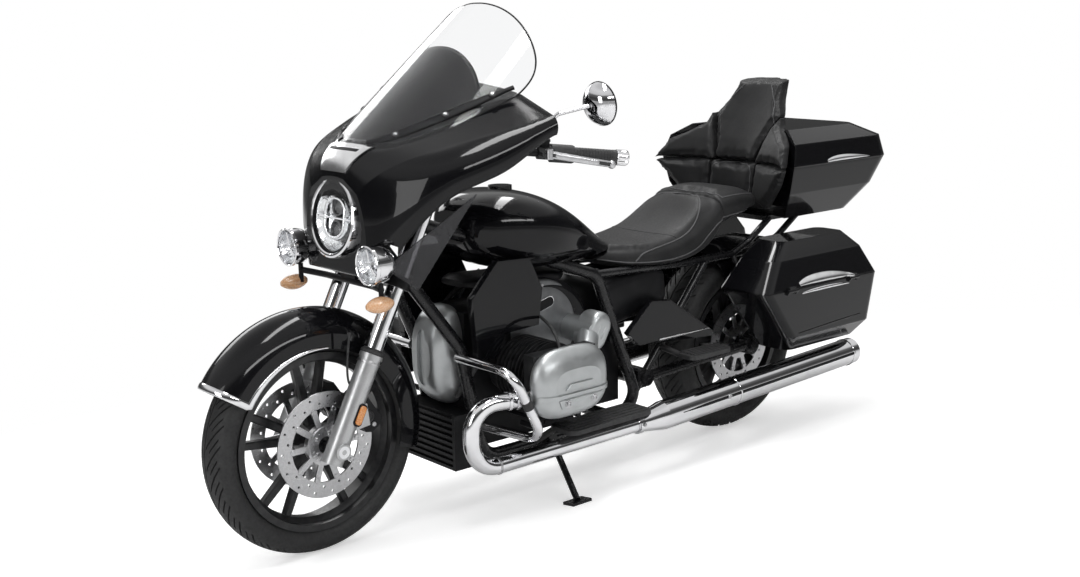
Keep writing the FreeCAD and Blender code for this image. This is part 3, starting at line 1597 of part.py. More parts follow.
def rear_mudguard(neighbours):
    """The rear mudguard, held by two lugs on each seat rail."""
    centre = rear_axle + V(0, 0, rear_guard_shift_z)
    shell = guard_shell(centre, rear_guard_radius, rear_guard_half_width, rear_guard_crown, rear_guard_wall,
                        rear_guard_skirt, rear_guard_front_angle, rear_guard_rear_angle)
    lugs = []
    for x in (rear_axle.x + rear_guard_lug_reach, rear_axle.x - rear_guard_lug_reach):
        lug = block(V(x - rear_guard_lug_length, rear_guard_half_width - rear_guard_wall,
                      rear_guard_lug_bottom),
                    V(x, subframe_half_spacing, subframe_z))
        lugs += [lug, mirrored(lug)]
    return joined(shell, *lugs).cut(neighbours)


def plate_holder():
    """The number-plate holder behind the mudguard, with two bores for the plate."""
    angle = math.radians(plate_angle)
    centre = rear_axle + V(0, 0, rear_guard_shift_z)
    root = centre + V(math.cos(angle), 0, math.sin(angle)) * rear_guard_radius
    back = V(root.x - plate_arm_length, 0, root.z)
    arm = block(V(back.x, -plate_arm_width / 2, root.z - plate_bracket_thickness / 2),
                V(root.x, plate_arm_width / 2, root.z + plate_bracket_thickness / 2))
    board = block(V(back.x - plate_bracket_thickness, -plate_width / 2, root.z - plate_height / 2),
                  V(back.x, plate_width / 2, root.z + plate_height / 2))
    body = joined(arm, board)
    for side in (-plate_bore_spacing / 2, plate_bore_spacing / 2):
        start = V(back.x - plate_bracket_thickness - overrun, side, root.z + plate_bore_height)
        body = body.cut(rod(start, start + V(plate_bracket_thickness + 2 * overrun, 0, 0),
                            plate_bore_radius))
    return body


def tail_lamp(box):
    """A round-ended tail lamp on the rear wall of a pannier."""
    centre = V(pannier_front_x - pannier_length, (pannier_inner_y + pannier_outer_y) / 2, tail_lamp_z)
    wires = []
    for at, wide in tail_lamp_station_shares:
        wires.append(oval(centre + V(tail_lamp_inset - at * (tail_lamp_depth + tail_lamp_inset), 0, 0),
                          tail_lamp_width / 2 * wide, tail_lamp_radius * wide, tail_lamp_power, "x"))
    return Part.makeLoft(wires, True).cut(box)


def foot_plate(front_x, length, inner_y, width, z):
    """A level board with rounded corners."""
    wire = rounded_wire(z - board_thickness / 2, front_x, front_x - length, inner_y, inner_y + width,
                        board_corner)
    return Part.Face(wire).extrude(V(0, 0, board_thickness))


def floorboard(main, case, pipes):
    """The rider's board on its two arms, with the passenger's smaller board behind."""
    board = foot_plate(board_front_x, board_length, board_inner_y, board_width, board_z)
    arms = []
    for share in board_arm_shares:
        x = board_front_x - share * board_length
        arms.append(rod(V(x, cradle_half_spacing, cradle_z), V(x, board_inner_y + board_thickness, board_z),
                        board_arm_radius))
    return joined(board, *arms).cut([main, pipes])


def passenger_board(rear_frame, main):
    board = foot_plate(pillion_board_x, pillion_board_length, pillion_board_inner_y, pillion_board_width,
                       pillion_board_z)
    x = pillion_board_x - pillion_board_length * pillion_arm_share
    share = (x - strut_low_x) / (strut_top_x - strut_low_x)
    z = strut_low_z + share * (subframe_z - strut_low_z)
    y = frame_half_spacing + share * (subframe_half_spacing - frame_half_spacing)
    arm = rod(V(x, y, z), V(x, pillion_board_inner_y + board_thickness, pillion_board_z), board_arm_radius)
    return joined(board, arm).cut([rear_frame, main])


def foot_lever(case, reaches):
    """A lever on a rod from the sump, with a round pad at each end of its bar."""
    pivot = V(foot_pivot_x, foot_lever_y, foot_pivot_z)
    pieces = [rod(V(foot_pivot_x, sump_half_width - overrun, foot_pivot_z),
                  pivot + V(0, foot_bar_thickness, 0), foot_rod_radius)]
    for reach in reaches:
        end = pivot + V(reach, 0, foot_pad_rise)
        pieces.append(plate(pivot, end, along_y, foot_bar_width, foot_bar_thickness))
        pieces.append(rod(end - V(0, foot_bar_thickness / 2, 0), end + V(0, foot_pad_length, 0),
                          foot_pad_radius))
    return joined(*pieces).cut(case)


# Luggage

def pannier_loft(inset):
    """The pannier's outer form, or its inner form when inset by the wall."""
    wires = []
    depth = pannier_outer_y - pannier_inner_y
    height = pannier_top - pannier_bottom
    for up, front, rear, outer in pannier_slice_shares:
        z = pannier_bottom + up * height
        if up == 0:
            z += inset
        if up == 1:
            z -= inset
        wires.append(rounded_wire(z, pannier_front_x - front * pannier_length - inset,
                                  pannier_front_x - rear * pannier_length + inset, pannier_inner_y + inset,
                                  pannier_inner_y + outer * depth - inset, pannier_corner - inset))
    return Part.makeLoft(wires, True, True)


def slab(low_z, high_z):
    """All the room between two levels."""
    reach = wheelbase * 2
    return block(V(-reach, -reach, low_z), V(reach, reach, high_z))


def hinge_spot(index, front_x, length):
    return front_x - length * (hinge_end_share + index * (1 - 2 * hinge_end_share) / (hinge_count - 1))


def hinge_fixed(front_x, length, axis_y, axis_z, inward):
    """Pins with a lug at each end, reaching into the wall below."""
    pieces = []
    for index in range(hinge_count):
        x = hinge_spot(index, front_x, length)
        reach = hinge_knuckle_length / 2 + hinge_gap
        pin = rod(V(x - reach - hinge_lug_length, axis_y, axis_z),
                  V(x + reach + hinge_lug_length, axis_y, axis_z), hinge_pin_radius)
        lugs = [rod(V(x + side * reach, axis_y, axis_z),
                    V(x + side * (reach + hinge_lug_length), axis_y, axis_z), hinge_radius)
                for side in (-1, 1)]
        webs = []
        for side in (-1, 1):
            low_x = min(x + side * reach, x + side * (reach + hinge_lug_length))
            low_y = min(axis_y, axis_y + inward * hinge_root)
            webs.append(block(V(low_x, low_y, axis_z - hinge_web_height),
                              V(low_x + hinge_lug_length, low_y + hinge_root, axis_z)))
        pieces.append(joined(pin, *lugs, *webs))
    return pieces


def hinge_moving(front_x, length, axis_y, axis_z, inward):
    """Knuckles around the pins, reaching into the wall above."""
    pieces = []
    for index in range(hinge_count):
        x = hinge_spot(index, front_x, length)
        half = hinge_knuckle_length / 2
        knuckle = rod(V(x - half, axis_y, axis_z), V(x + half, axis_y, axis_z), hinge_radius)
        low_y = min(axis_y, axis_y + inward * hinge_root)
        web = block(V(x - half, low_y, axis_z), V(x + half, low_y + hinge_root, axis_z + hinge_web_height))
        bore = rod(V(x - half - overrun, axis_y, axis_z), V(x + half + overrun, axis_y, axis_z),
                   hinge_pin_radius + running_gap)
        pieces.append(joined(knuckle, web).cut(bore))
    return pieces


def pannier():
    """The lower shell and the lid of the left pannier, both hollow."""
    outer = pannier_loft(0)
    inner = pannier_loft(pannier_wall)
    walls = outer.cut(inner)
    low = walls.common(slab(0, pannier_split - lid_gap / 2))
    high = walls.common(slab(pannier_split + lid_gap / 2, pannier_top + overrun))
    axis_y = pannier_outer_y + hinge_radius + lid_gap
    fixed = hinge_fixed(pannier_front_x, pannier_length, axis_y, pannier_split, -1)
    moving = hinge_moving(pannier_front_x, pannier_length, axis_y, pannier_split, -1)
    shell = joined(low,
                   *[piece.cut(inner).cut(slab(pannier_split - lid_gap / 2,
                                               pannier_top).common(outer)) for piece in fixed])
    lid = joined(high,
                 *[piece.cut(inner).cut(slab(0,
                                             pannier_split + lid_gap / 2).common(outer)) for piece in moving])
    return shell, lid


def case_wire(z, half_width, tip_x, middle_x, rear_x, corner, inset):
    """A level outline of the top case: hollow front, straight sides, round rear corners."""
    half = half_width - inset
    rear = rear_x + inset
    bend = corner - inset
    front = [V(tip_x - inset, -half, z), V(middle_x - inset, 0, z), V(tip_x - inset, half, z)]
    nook = bend / math.sqrt(2)
    return Part.Wire([
        Part.Arc(*front).toShape(),
        Part.makeLine(front[2], V(rear + bend, half, z)),
        Part.Arc(V(rear + bend, half, z), V(rear + bend - nook, half - bend + nook, z),
                 V(rear, half - bend, z)).toShape(),
        Part.makeLine(V(rear, half - bend, z), V(rear, bend - half, z)),
        Part.Arc(V(rear, bend - half, z), V(rear + bend - nook, bend - nook - half, z),
                 V(rear + bend, -half, z)).toShape(),
        Part.makeLine(V(rear + bend, -half, z), front[0]),
    ])


def case_loft(inset):
    wires = []
    height = case_top - case_bottom
    for up, wide, tip, middle, rear in case_slice_shares:
        z = case_bottom + up * height
        if up == 0:
            z += inset
        if up == 1:
            z -= inset
        wires.append(case_wire(z, wide * case_half_width, case_front_x - tip * case_length,
                               case_front_x - middle * case_length,
                               case_front_x - rear * case_length, case_corner, inset))
    return Part.makeLoft(wires, True, True)


def backrest_loft():
    """The padded backrest: a broad winged lower half under a narrow upper half, wrapped forward."""
    wires = []
    height = backrest_top - backrest_bottom
    for up, wide, tip, middle in backrest_slice_shares:
        z = backrest_bottom + up * height
        half = wide * backrest_half_width
        tip_x = backrest_front_x - tip * backrest_depth
        middle_x = backrest_front_x - middle * backrest_depth
        thin = backrest_thickness * backrest_edge_share
        wires.append(Part.Wire([
            Part.Arc(V(tip_x, -half, z), V(middle_x, 0, z), V(tip_x, half, z)).toShape(),
            Part.makeLine(V(tip_x, half, z), V(tip_x - thin, half, z)),
            Part.Arc(V(tip_x - thin, half, z), V(middle_x - backrest_thickness, 0, z),
                     V(tip_x - thin, -half, z)).toShape(),
            Part.makeLine(V(tip_x - thin, -half, z), V(tip_x, -half, z)),
        ]))
    return Part.makeLoft(wires, True, True)


def top_case(rack):
    """The case's lower shell and lid, and the lower and upper halves of the backrest on them."""
    outer = case_loft(0)
    inner = case_loft(case_wall)
    rest = backrest_loft()
    walls = outer.cut(inner)
    below = slab(0, case_split - lid_gap / 2)
    above = slab(case_split + lid_gap / 2, backrest_top + overrun)
    axis_y = -(case_half_width + hinge_radius + lid_gap)
    fixed = hinge_fixed(case_front_x, case_length, axis_y, case_split, 1)
    moving = hinge_moving(case_front_x, case_length, axis_y, case_split, 1)
    shell = joined(walls.common(below), *[piece.cut(inner).cut(above.common(outer)) for piece in fixed])
    lid = joined(walls.common(above), *[piece.cut(inner).cut(below.common(outer)) for piece in moving])
    rest_low = rest.common(below).cut(outer)
    rest_high = rest.common(above).cut(outer)
    return shell.cut(rack), lid, rest_low, rest_high


# Side stand, drawn in the leant position

def leant(shape):
    """The shape as it stands, leant to the left about the ground line."""
    return placed(shape, lean_frame)


def side_stand():
    """The stand's eye, leg and foot, and the lugs and pin that hold it to the frame."""
    pivot = lean_frame.multVec(V(stand_pivot_x, stand_pivot_y, stand_pivot_z))
    anchor = lean_frame.multVec(V(stand_pivot_x, cradle_half_spacing, cradle_z))
    foot = V(stand_foot_x, stand_foot_y, stand_foot_thickness)
    leg_line = unit(foot - pivot)
    axis = unit(leg_line.cross(V(-stand_fold_back_share, stand_fold_out_share, stand_fold_up_share)))
    half = stand_eye_length / 2
    eye = rod(pivot - axis * half, pivot + axis * half, stand_eye_radius)
    leg = rod(pivot, foot, stand_leg_radius)
    pad = block(V(stand_foot_x - stand_foot_length / 2, stand_foot_y - stand_foot_width / 2, 0),
                V(stand_foot_x + stand_foot_length / 2, stand_foot_y + stand_foot_width / 2,
                  stand_foot_thickness))
    bore = rod(pivot - axis * stand_eye_length, pivot + axis * stand_eye_length,
               stand_pin_radius + running_gap)
    stand = joined(eye, leg, pad).cut(slab(-wheelbase, 0)).cut(bore)
    return stand, stand_clevis(pivot, axis, anchor)


def stand_clevis(pivot, axis, anchor):
    """Two lugs beside the stand's eye, the pin through them, and the arm from their base to the frame."""
    toward = anchor - pivot
    across = unit(toward - axis * toward.dot(axis))
    inner = stand_eye_length / 2 + seat_gap
    outer = inner + stand_lug_thickness
    base_start = stand_eye_radius + stand_lug_gap
    base = across * (base_start + stand_lug_thickness / 2)
    pieces = [rod(pivot - axis * outer, pivot + axis * outer, stand_pin_radius)]
    for side in (-1, 1):
        middle = pivot + axis * (side * (inner + outer) / 2)
        pieces.append(rod(pivot + axis * (side * inner), pivot + axis * (side * outer), stand_eye_radius))
        pieces.append(plate(middle, middle + base, axis, stand_eye_radius * 2, stand_lug_thickness))
    pieces.append(plate(pivot - axis * outer + base, pivot + axis * outer + base, across,
                        stand_eye_radius * 2,
                        stand_lug_thickness))
    pieces.append(rod(pivot + across * (base_start + stand_lug_thickness), anchor, stand_arm_radius))
    return joined(*pieces)


def all_nodes():
    """Every piece of the machine, upright, and the few that are drawn as it stands."""
    nodes = {}
    nodes["front_tyre"] = tyre(front_axle, front_tyre_radius, front_tyre_width, front_bead_radius,
                               front_crown_radius, tyre_wall)
    nodes["front_rim"] = cast_wheel(front_axle, front_tyre_width, front_bead_radius, front_rim_depth,
                                    rim_wall, front_hub_radius,
                                    front_hub_width, front_spoke_width, front_spoke_depth)
    nodes["front_discs"] = front_discs()
    nodes["rear_tyre"] = tyre(rear_axle, rear_tyre_radius, rear_tyre_width, rear_bead_radius,
                              rear_crown_radius, tyre_wall)
    nodes["rear_rim"] = cast_wheel(rear_axle, rear_tyre_width, rear_bead_radius, rear_rim_depth, rim_wall,
                                   rear_hub_radius,
                                   rear_hub_width, rear_spoke_width, rear_spoke_depth)
    nodes["rear_disc"] = brake_disc(rear_axle, rear_disc_offset, rear_hub_width / 2)

    nodes["front_axle"] = front_axle_bar()
    nodes["fork_legs"] = pair(fork_leg())
    nodes["fork_tubes"] = pair(fork_tube())
    nodes["steering_yokes"] = yokes()
    nodes["front_calipers"] = pair(front_caliper()).cut(nodes["fork_legs"])
    nodes["front_mudguard"] = front_mudguard().cut(nodes["fork_legs"])
    body = fairing_body()
    space = fairing_space()
    nodes["headlamp"] = headlamp()
    nodes["windscreen"] = windscreen()
    lamp = fog_lamp()
    pocket = lamp_pocket()
    nodes["fairing"] = body.cut(space)
    for piece in (pocket, mirrored(pocket), nodes["headlamp"], nodes["windscreen"]):
        nodes["fairing"] = nodes["fairing"].cut(piece)
    nodes["handlebar"] = handlebar().cut(nodes["steering_yokes"])
    neighbours = [nodes["headlamp"], nodes["windscreen"], nodes["handlebar"], nodes["steering_yokes"],
                  nodes["fork_tubes"]]
    nodes["instrument_panel"] = instrument_panel(space).cut(neighbours)
    nodes["fog_lamps"] = pair(lamp)
    carried = [nodes["steering_yokes"], nodes["headlamp"], nodes["fork_tubes"], nodes["fairing"], lamp,
               mirrored(lamp)]
    nodes["lamp_bracket"] = fairing_bracket().cut(carried)
    nodes["turn_signals"] = pair(turn_signal().cut(nodes["lamp_bracket"]))
    nodes["wind_deflectors"] = pair(wind_deflector([nodes["fairing"], lamp]))
    nodes["hand_controls"] = pair(hand_control())
    nodes["mirrors"] = pair(mirror().cut([nodes["handlebar"], nodes["hand_controls"]]))

    nodes["frame"] = frame()
    nodes["subframe"] = subframe(nodes["frame"])
    nodes["engine_block"] = engine_block().cut([nodes["frame"], nodes["subframe"]])
    nodes["engine_cover"] = engine_cover(nodes["engine_block"])
    nodes["oil_cooler"] = oil_cooler(nodes["frame"], nodes["engine_block"])
    barrel = cylinder(nodes["engine_block"]).cut(nodes["frame"])
    nodes["cylinders"] = pair(barrel)
    nodes["head_covers"] = pair(head_cover())
    nodes["intakes"] = pair(intake(nodes["engine_block"], barrel).cut(nodes["frame"]))
    nodes["exhausts"] = pair(exhaust([barrel, nodes["head_covers"]]))
    nodes["crash_bars"] = pair(crash_bar(nodes["frame"]))
    nodes["fuel_tank"] = fuel_tank(nodes["frame"], nodes["subframe"])
    nodes["shrouds"] = pair(shroud(nodes["fuel_tank"], barrel, nodes["frame"]))
    nodes["side_covers"] = pair(side_cover(nodes["frame"], nodes["subframe"]))
    nodes["rear_arm"] = rear_arm([nodes["frame"], nodes["subframe"]])
    nodes["rear_caliper"] = rear_caliper()
    nodes["rear_mudguard"] = rear_mudguard([nodes["subframe"], nodes["frame"], nodes["rear_arm"]])
    nodes["plate_holder"] = plate_holder().cut(nodes["rear_mudguard"])
    under_seat = [nodes["frame"], nodes["subframe"], nodes["fuel_tank"], nodes["rear_mudguard"]]
    nodes["rider_seat"] = rider_seat(under_seat)
    nodes["pillion_seat"] = pillion_seat(under_seat + [nodes["rider_seat"]])
    nodes["floorboards"] = pair(floorboard(nodes["frame"], nodes["engine_block"], nodes["exhausts"]))
    nodes["passenger_boards"] = pair(passenger_board(nodes["subframe"], nodes["frame"]))
    gear_lever = foot_lever(nodes["engine_block"], (foot_toe_reach, -foot_heel_reach))
    brake_pedal = mirrored(foot_lever(nodes["engine_block"], (foot_toe_reach,)))
    nodes["foot_controls"] = Part.makeCompound([gear_lever, brake_pedal])
    shell, lid = pannier()
    nodes["pannier_left"] = shell
    nodes["pannier_right"] = mirrored(shell)
    nodes["pannier_lid_left"] = lid
    nodes["pannier_lid_right"] = mirrored(lid)
    nodes["tail_lamps"] = pair(tail_lamp(shell))
    parts = top_case(nodes["subframe"])
    nodes["top_case"], nodes["top_case_lid"], nodes["backrest_lower"], nodes["backrest_upper"] = parts
    nodes["pillion_seat"] = nodes["pillion_seat"].cut([nodes["top_case"], nodes["backrest_lower"]])
    return nodes


lean_frame = FreeCAD.Placement(V(), FreeCAD.Rotation(V(1, 0, 0), -lean_angle))


def middle_of_base(shapes):
    """The point on the ground under the middle of the whole machine."""
    boxes = [shape.optimalBoundingBox(False, False) for shape in shapes]
    middle_x = (min(box.XMin for box in boxes) + max(box.XMax for box in boxes)) / 2
    middle_y = (min(box.YMin for box in boxes) + max(box.YMax for box in boxes)) / 2
    return V(middle_x, middle_y, min(box.ZMin for box in boxes))


def main():
    nodes = {name: leant(shape) for name, shape in all_nodes().items()}
    nodes["side_stand"], lugs = side_stand()
    nodes["frame"] = joined(nodes["frame"], lugs)
    origin = middle_of_base(nodes.values())
    os.makedirs("parts", exist_ok=True)
    for name, shape in nodes.items():
        placed(shape, FreeCAD.Placement(-origin, FreeCAD.Rotation())).exportStep(f"parts/{name}.step")


main()
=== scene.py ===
import json
import math

import bmesh
import bpy
from mathutils import Matrix, Vector
from mathutils.bvhtree import BVHTree


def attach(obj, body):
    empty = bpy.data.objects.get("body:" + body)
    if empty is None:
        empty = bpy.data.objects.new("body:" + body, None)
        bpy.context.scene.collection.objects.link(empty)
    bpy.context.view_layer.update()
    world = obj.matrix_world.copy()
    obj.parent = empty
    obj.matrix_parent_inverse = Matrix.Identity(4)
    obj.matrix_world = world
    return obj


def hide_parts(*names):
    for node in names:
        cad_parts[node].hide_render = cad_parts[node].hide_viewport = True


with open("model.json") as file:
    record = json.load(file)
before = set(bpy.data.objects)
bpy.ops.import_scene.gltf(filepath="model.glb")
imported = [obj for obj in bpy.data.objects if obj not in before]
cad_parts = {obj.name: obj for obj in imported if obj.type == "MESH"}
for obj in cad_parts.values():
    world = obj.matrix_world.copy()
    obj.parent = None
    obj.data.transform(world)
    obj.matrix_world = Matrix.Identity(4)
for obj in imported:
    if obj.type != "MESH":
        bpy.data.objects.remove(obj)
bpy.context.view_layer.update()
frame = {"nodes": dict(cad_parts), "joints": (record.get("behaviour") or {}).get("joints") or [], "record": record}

# The machine leans on its stand. Pieces are drawn upright, in millimetres: x from the front axle, y to the
# rider's left, z up from the ground. UPRIGHT takes them to the leant frame in metres.
X, Y, Z = Vector((1, 0, 0)), Vector((0, 1, 0)), Vector((0, 0, 1))
SIDES = ((1, "left"), (-1, "right"))
JOINTS = {joint["name"]: joint for joint in frame["joints"]}
AXLE_LINE = Vector(JOINTS["front_spin"]["axis"])
FRONT_AXLE = Vector(JOINTS["front_spin"]["pos_m"])
REAR_AXLE = Vector(JOINTS["rear_spin"]["pos_m"])
LEAN = math.atan2(-AXLE_LINE.z, AXLE_LINE.y)
MILLIMETRE = 0.001
FRONT_AXLE_HEIGHT = FRONT_AXLE.z / math.cos(LEAN) / MILLIMETRE
REAR_AXLE_HEIGHT = REAR_AXLE.z / math.cos(LEAN) / MILLIMETRE
WHEELBASE = (FRONT_AXLE.x - REAR_AXLE.x) / MILLIMETRE
UPRIGHT = (Matrix.Translation(FRONT_AXLE) @ Matrix.Rotation(-LEAN, 4, "X") @ Matrix.Scale(MILLIMETRE, 4)
           @ Matrix.Translation((0, 0, -FRONT_AXLE_HEIGHT)))
FROM_UPRIGHT = UPRIGHT.to_3x3()
TO_UPRIGHT = UPRIGHT.inverted()
FRONT_CENTRE = Vector((0, 0, FRONT_AXLE_HEIGHT))
REAR_CENTRE = Vector((-WHEELBASE, 0, REAR_AXLE_HEIGHT))
RAKE = math.radians(27.3)
FORK_ALONG = Vector((-math.sin(RAKE), 0, math.cos(RAKE)))
FORK_AHEAD = Vector((math.cos(RAKE), 0, math.sin(RAKE)))
FORK_HALF_SPACING = 130.0

# Camera, in upright millimetres and pixels of the photograph's frame
PHOTO_WIDTH = 1080
PHOTO_HEIGHT = 577
CAMERA_PLACE = Vector((1853.0, 3125.2, 1489.9))
CAMERA_AHEAD = Vector((-0.62638, -0.74257, -0.23716))
CAMERA_RIGHT = Vector((-0.76160, 0.64782, -0.01687))
FOCAL_PIXELS = 1353.1
CENTRE_PIXEL = (525.2, 333.6)
SENSOR_WIDTH = 36.0


# Helpers

def each_side(build):
    """Builds a set of pieces once on the left and once on the right."""
    for side, label in SIDES:
        build(side, label)
    return build


def sided(point, side):
    """A point of the left or, with side -1, the right of the machine."""
    return Vector((point[0], point[1] * side, point[2]))


def at_fork(ahead, side, along):
    """A point given ahead of, beside and along the fork."""
    return FRONT_CENTRE + FORK_AHEAD * ahead + FORK_ALONG * along + Y * side


def directed(turn, first=X, second=Z):
    """The direction at an angle from a first direction toward a second."""
    return first * math.cos(turn) + second * math.sin(turn)


def spaced(count, shift=0.0):
    """Numbered angles, evenly spaced round a full turn."""
    return [(index, math.tau * (index + shift) / count) for index in range(count)]


def basis(axis):
    """Two directions square to an axis and to each other."""
    guide = Z if abs(axis.z) < 0.9 else X
    first = axis.cross(guide).normalized()
    return first, axis.cross(first).normalized()


def shade(mesh, angle=40):
    """Smooth faces with crisp edges where they turn sharply."""
    for face in mesh.polygons:
        face.use_smooth = True
    mesh.set_sharp_from_angle(angle=math.radians(angle))


def in_scene(name, data):
    """A new object of the scene."""
    holder = bpy.data.objects.new(name, data)
    bpy.context.scene.collection.objects.link(holder)
    return holder


def mesh_object(name, mesh, material, body):
    """A new piece that shows a mesh given upright, in the leant frame, and rides on a body."""
    mesh.transform(UPRIGHT)
    piece = in_scene(name, mesh)
    mesh.materials.append(material)
    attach(piece, body)
    return piece


def from_points(name, points, faces, material, body, angle=40):
    """A piece of the given points and faces."""
    mesh = bpy.data.meshes.new(name)
    mesh.from_pydata([tuple(point) for point in points], [], faces)
    mesh.validate()
    work = bmesh.new()
    work.from_mesh(mesh)
    bmesh.ops.remove_doubles(work, verts=work.verts, dist=0.01)
    bmesh.ops.recalc_face_normals(work, faces=work.faces)
    work.to_mesh(mesh)
    work.free()
    shade(mesh, angle)
    return mesh_object(name, mesh, material, body)


def baked(holder):
    """The mesh that an object shows with its modifiers."""
    return bpy.data.meshes.new_from_object(holder.evaluated_get(bpy.context.evaluated_depsgraph_get()))


def applied(piece):
    """The piece with its modifiers made part of its mesh."""
    mesh = baked(piece)
    piece.modifiers.clear()
    piece.data = mesh
    return piece


def modifier(piece, kind, **settings):
    """A modifier with its settings."""
    added = piece.modifiers.new(kind.lower(), kind)
    for key, value in settings.items():
        setattr(added, key, value)
    return added


def softened(piece, width, angle=35):
    """Rounds the sharp edges of a piece, width in millimetres."""
    modifier(piece, "BEVEL", width=width * MILLIMETRE, segments=2, limit_method="ANGLE",
             angle_limit=math.radians(angle))
    return piece


def curve_mesh(name, curve):
    """The mesh of a curve or of words."""
    holder = in_scene(name, curve)
    mesh = baked(holder)
    bpy.data.objects.remove(holder)
    return mesh


def skin(name, rows, material, body, closed=False, caps=(False, False), angle=40):
    """A surface through rows of points, with the first and last rows closed where caps says so."""
    width = len(rows[0])
    faces = []
    for low in range(0, (len(rows) - 1) * width, width):
        for index in range(width if closed else width - 1):
            after = (index + 1) % width
            faces.append((low + index, low + after, low + width + after, low + width + index))
    starts = (0, (len(rows) - 1) * width)
    faces += [tuple(range(start, start + width)) for start, cap in zip(starts, caps) if cap]
    return from_points(name, [point for row in rows for point in row], faces, material, body, angle)


def lathe(name, profile, centre, axis, material, body, count=48, ends=True):
    """A piece turned about an axis from (along, radius) points; without ends it stays an open shell."""
    axis = axis.normalized()
    first, second = basis(axis)
    rows = [[centre + axis * along + directed(turn, first, second) * radius
             for index, turn in spaced(count)] for along, radius in profile]
    caps = [ends and profile[end][1] > 0.01 for end in (0, -1)]
    return skin(name, rows, material, body, True, caps, 30)


def bolt(name, centre, axis, radius, body, height=None):
    """A round-headed steel screw with a socket."""
    high = height or radius * 0.7
    profile = [(0, radius), (high * 0.7, radius), (high, radius * 0.8), (high, radius * 0.45),
               (high * 0.4, radius * 0.4), (high * 0.4, 0.0)]
    return lathe(name, profile, centre, axis, STEEL, body, 16)


def tube(name, points, radius, material, body, resolution=8):
    """A smooth round tube along a few points."""
    curve = bpy.data.curves.new(name, "CURVE")
    curve.dimensions = "3D"
    curve.bevel_depth = radius
    curve.bevel_resolution = 4
    curve.use_fill_caps = True
    spline = curve.splines.new("NURBS")
    spline.points.add(len(points) - 1)
    for slot, point in zip(spline.points, points):
        slot.co = (*point, 1)
    spline.order_u = 3
    spline.use_endpoint_u = True
    spline.resolution_u = resolution
    mesh = curve_mesh(name, curve)
    shade(mesh)
    return mesh_object(name, mesh, material, body)


def slab(name, outline, thickness, centre, right, up, material, body, bevel=0.0):
    """A flat piece with an outline of (right, up) points, thick along the normal."""
    normal = right.cross(up).normalized()
    points = [centre + right * x + up * y + normal * side
              for side in (-thickness / 2, thickness / 2) for x, y in outline]
    count = len(outline)
    faces = [tuple(reversed(range(count))), tuple(range(count, 2 * count))]
    for index in range(count):
        after = (index + 1) % count
        faces.append((index, after, after + count, index + count))
    piece = from_points(name, points, faces, material, body, 30)
    return softened(piece, bevel) if bevel else piece


def tree_of(*meshes):
    """A tree of the faces of meshes, for rays."""
    points, faces = [], []
    for mesh in meshes:
        start = len(points)
        points += [vertex.co.copy() for vertex in mesh.vertices]
        faces += [[start + index for index in face.vertices] for face in mesh.polygons]
    return BVHTree.FromPolygons(points, faces)


def surface_of(*names):
    """A tree of the faces of CAD nodes."""
    return tree_of(*(frame["nodes"][name].data for name in names))


def landed(tree, point, direction, lift=0.0):
    """Where a ray from an upright point meets a surface, lifted off it, upright again; None if it misses."""
    toward = (FROM_UPRIGHT @ direction).normalized()
    place = tree.ray_cast(UPRIGHT @ point, toward)[0]
    return None if place is None else TO_UPRIGHT @ (place - toward * lift * MILLIMETRE)


# Where the rays start that come from beside, above and behind the machine
BESIDE, ABOVE, BEHIND = 560, 1000, -1000


def laid(tree, points, direction, lift=0.0):
    """The places where rays from points meet a surface, without those that miss."""
    spots = [landed(tree, point, direction, lift) for point in points]
    return [spot for spot in spots if spot is not None]


def dressed(name, tree, rows, direction, material, body, thickness, lift):
    """A thin plate on a surface: a grid of points dropped on it, then given thickness."""
    placed = []
    for point in (point for row in rows for point in row):
        spot = landed(tree, point, direction, lift)
        placed.append(point if spot is None else spot)
    back = direction.normalized() * -thickness
    width, height = len(rows[0]), len(rows)
    shift = width * height
    faces = []
    for low in range(0, shift - width, width):
        for a in range(low, low + width - 1):
            faces.append((a, a + width, a + width + 1, a + 1))
            faces.append((a + shift, a + 1 + shift, a + width + 1 + shift, a + width + shift))
    rim = list(range(width)) + [row * width + width - 1 for row in range(1, height)]
    rim += [(height - 1) * width + index for index in range(width - 2, -1, -1)]
    rim += [row * width for row in range(height - 2, 0, -1)]
    for spot, after in zip(rim, rim[1:] + rim[:1]):
        faces.append((spot, after, after + shift, spot + shift))
    return from_points(name, placed + [spot + back for spot in placed], faces, material, body)


def eased_path(points, count):
    """Points along a smooth line through the given ones."""
    path = []
    for index in range(count):
        at = index / (count - 1) * (len(points) - 1)
        start = min(int(at), len(points) - 2)
        share = at - start
        before, first, last = points[max(start - 1, 0)], points[start], points[start + 1]
        beyond = points[min(start + 2, len(points) - 1)]
        path.append(0.5 * ((2 * first) + (last - before) * share
                           + (2 * before - 5 * first + 4 * last - beyond) * share ** 2
                           + (3 * first - before - 3 * last + beyond) * share ** 3))
    return path


def band(name, path, sizes, side, material, body, around=12, power=2.0, angle=50):
    """A bar along a path. sizes gives its half height and half depth at a share of the way, side the
    direction of its depth, one for all or one for each point. A high power squares its section."""
    sideways = side if isinstance(side, list) else [side] * len(path)
    rows = []
    for index, spot in enumerate(path):
        ahead = (path[min(index + 1, len(path) - 1)] - path[max(index - 1, 0)]).normalized()
        deep = (sideways[index] - ahead * sideways[index].dot(ahead)).normalized()
        high = deep.cross(ahead).normalized()
        half_high, half_deep = sizes(index / (len(path) - 1))
        row = []
        for step, turn in spaced(around):
            c, s = math.cos(turn), math.sin(turn)
            row.append(spot + high * (math.copysign(abs(c) ** (2 / power), c) * half_high)
                       + deep * (math.copysign(abs(s) ** (2 / power), s) * half_deep))
        rows.append(row)
    return skin(name, rows, material, body, True, (True, True), angle)


def bulge(at, low, span):
    """A half wave, from a share low of it over a share span of it."""
    return math.sin(math.pi * (low + span * at))


# Materials

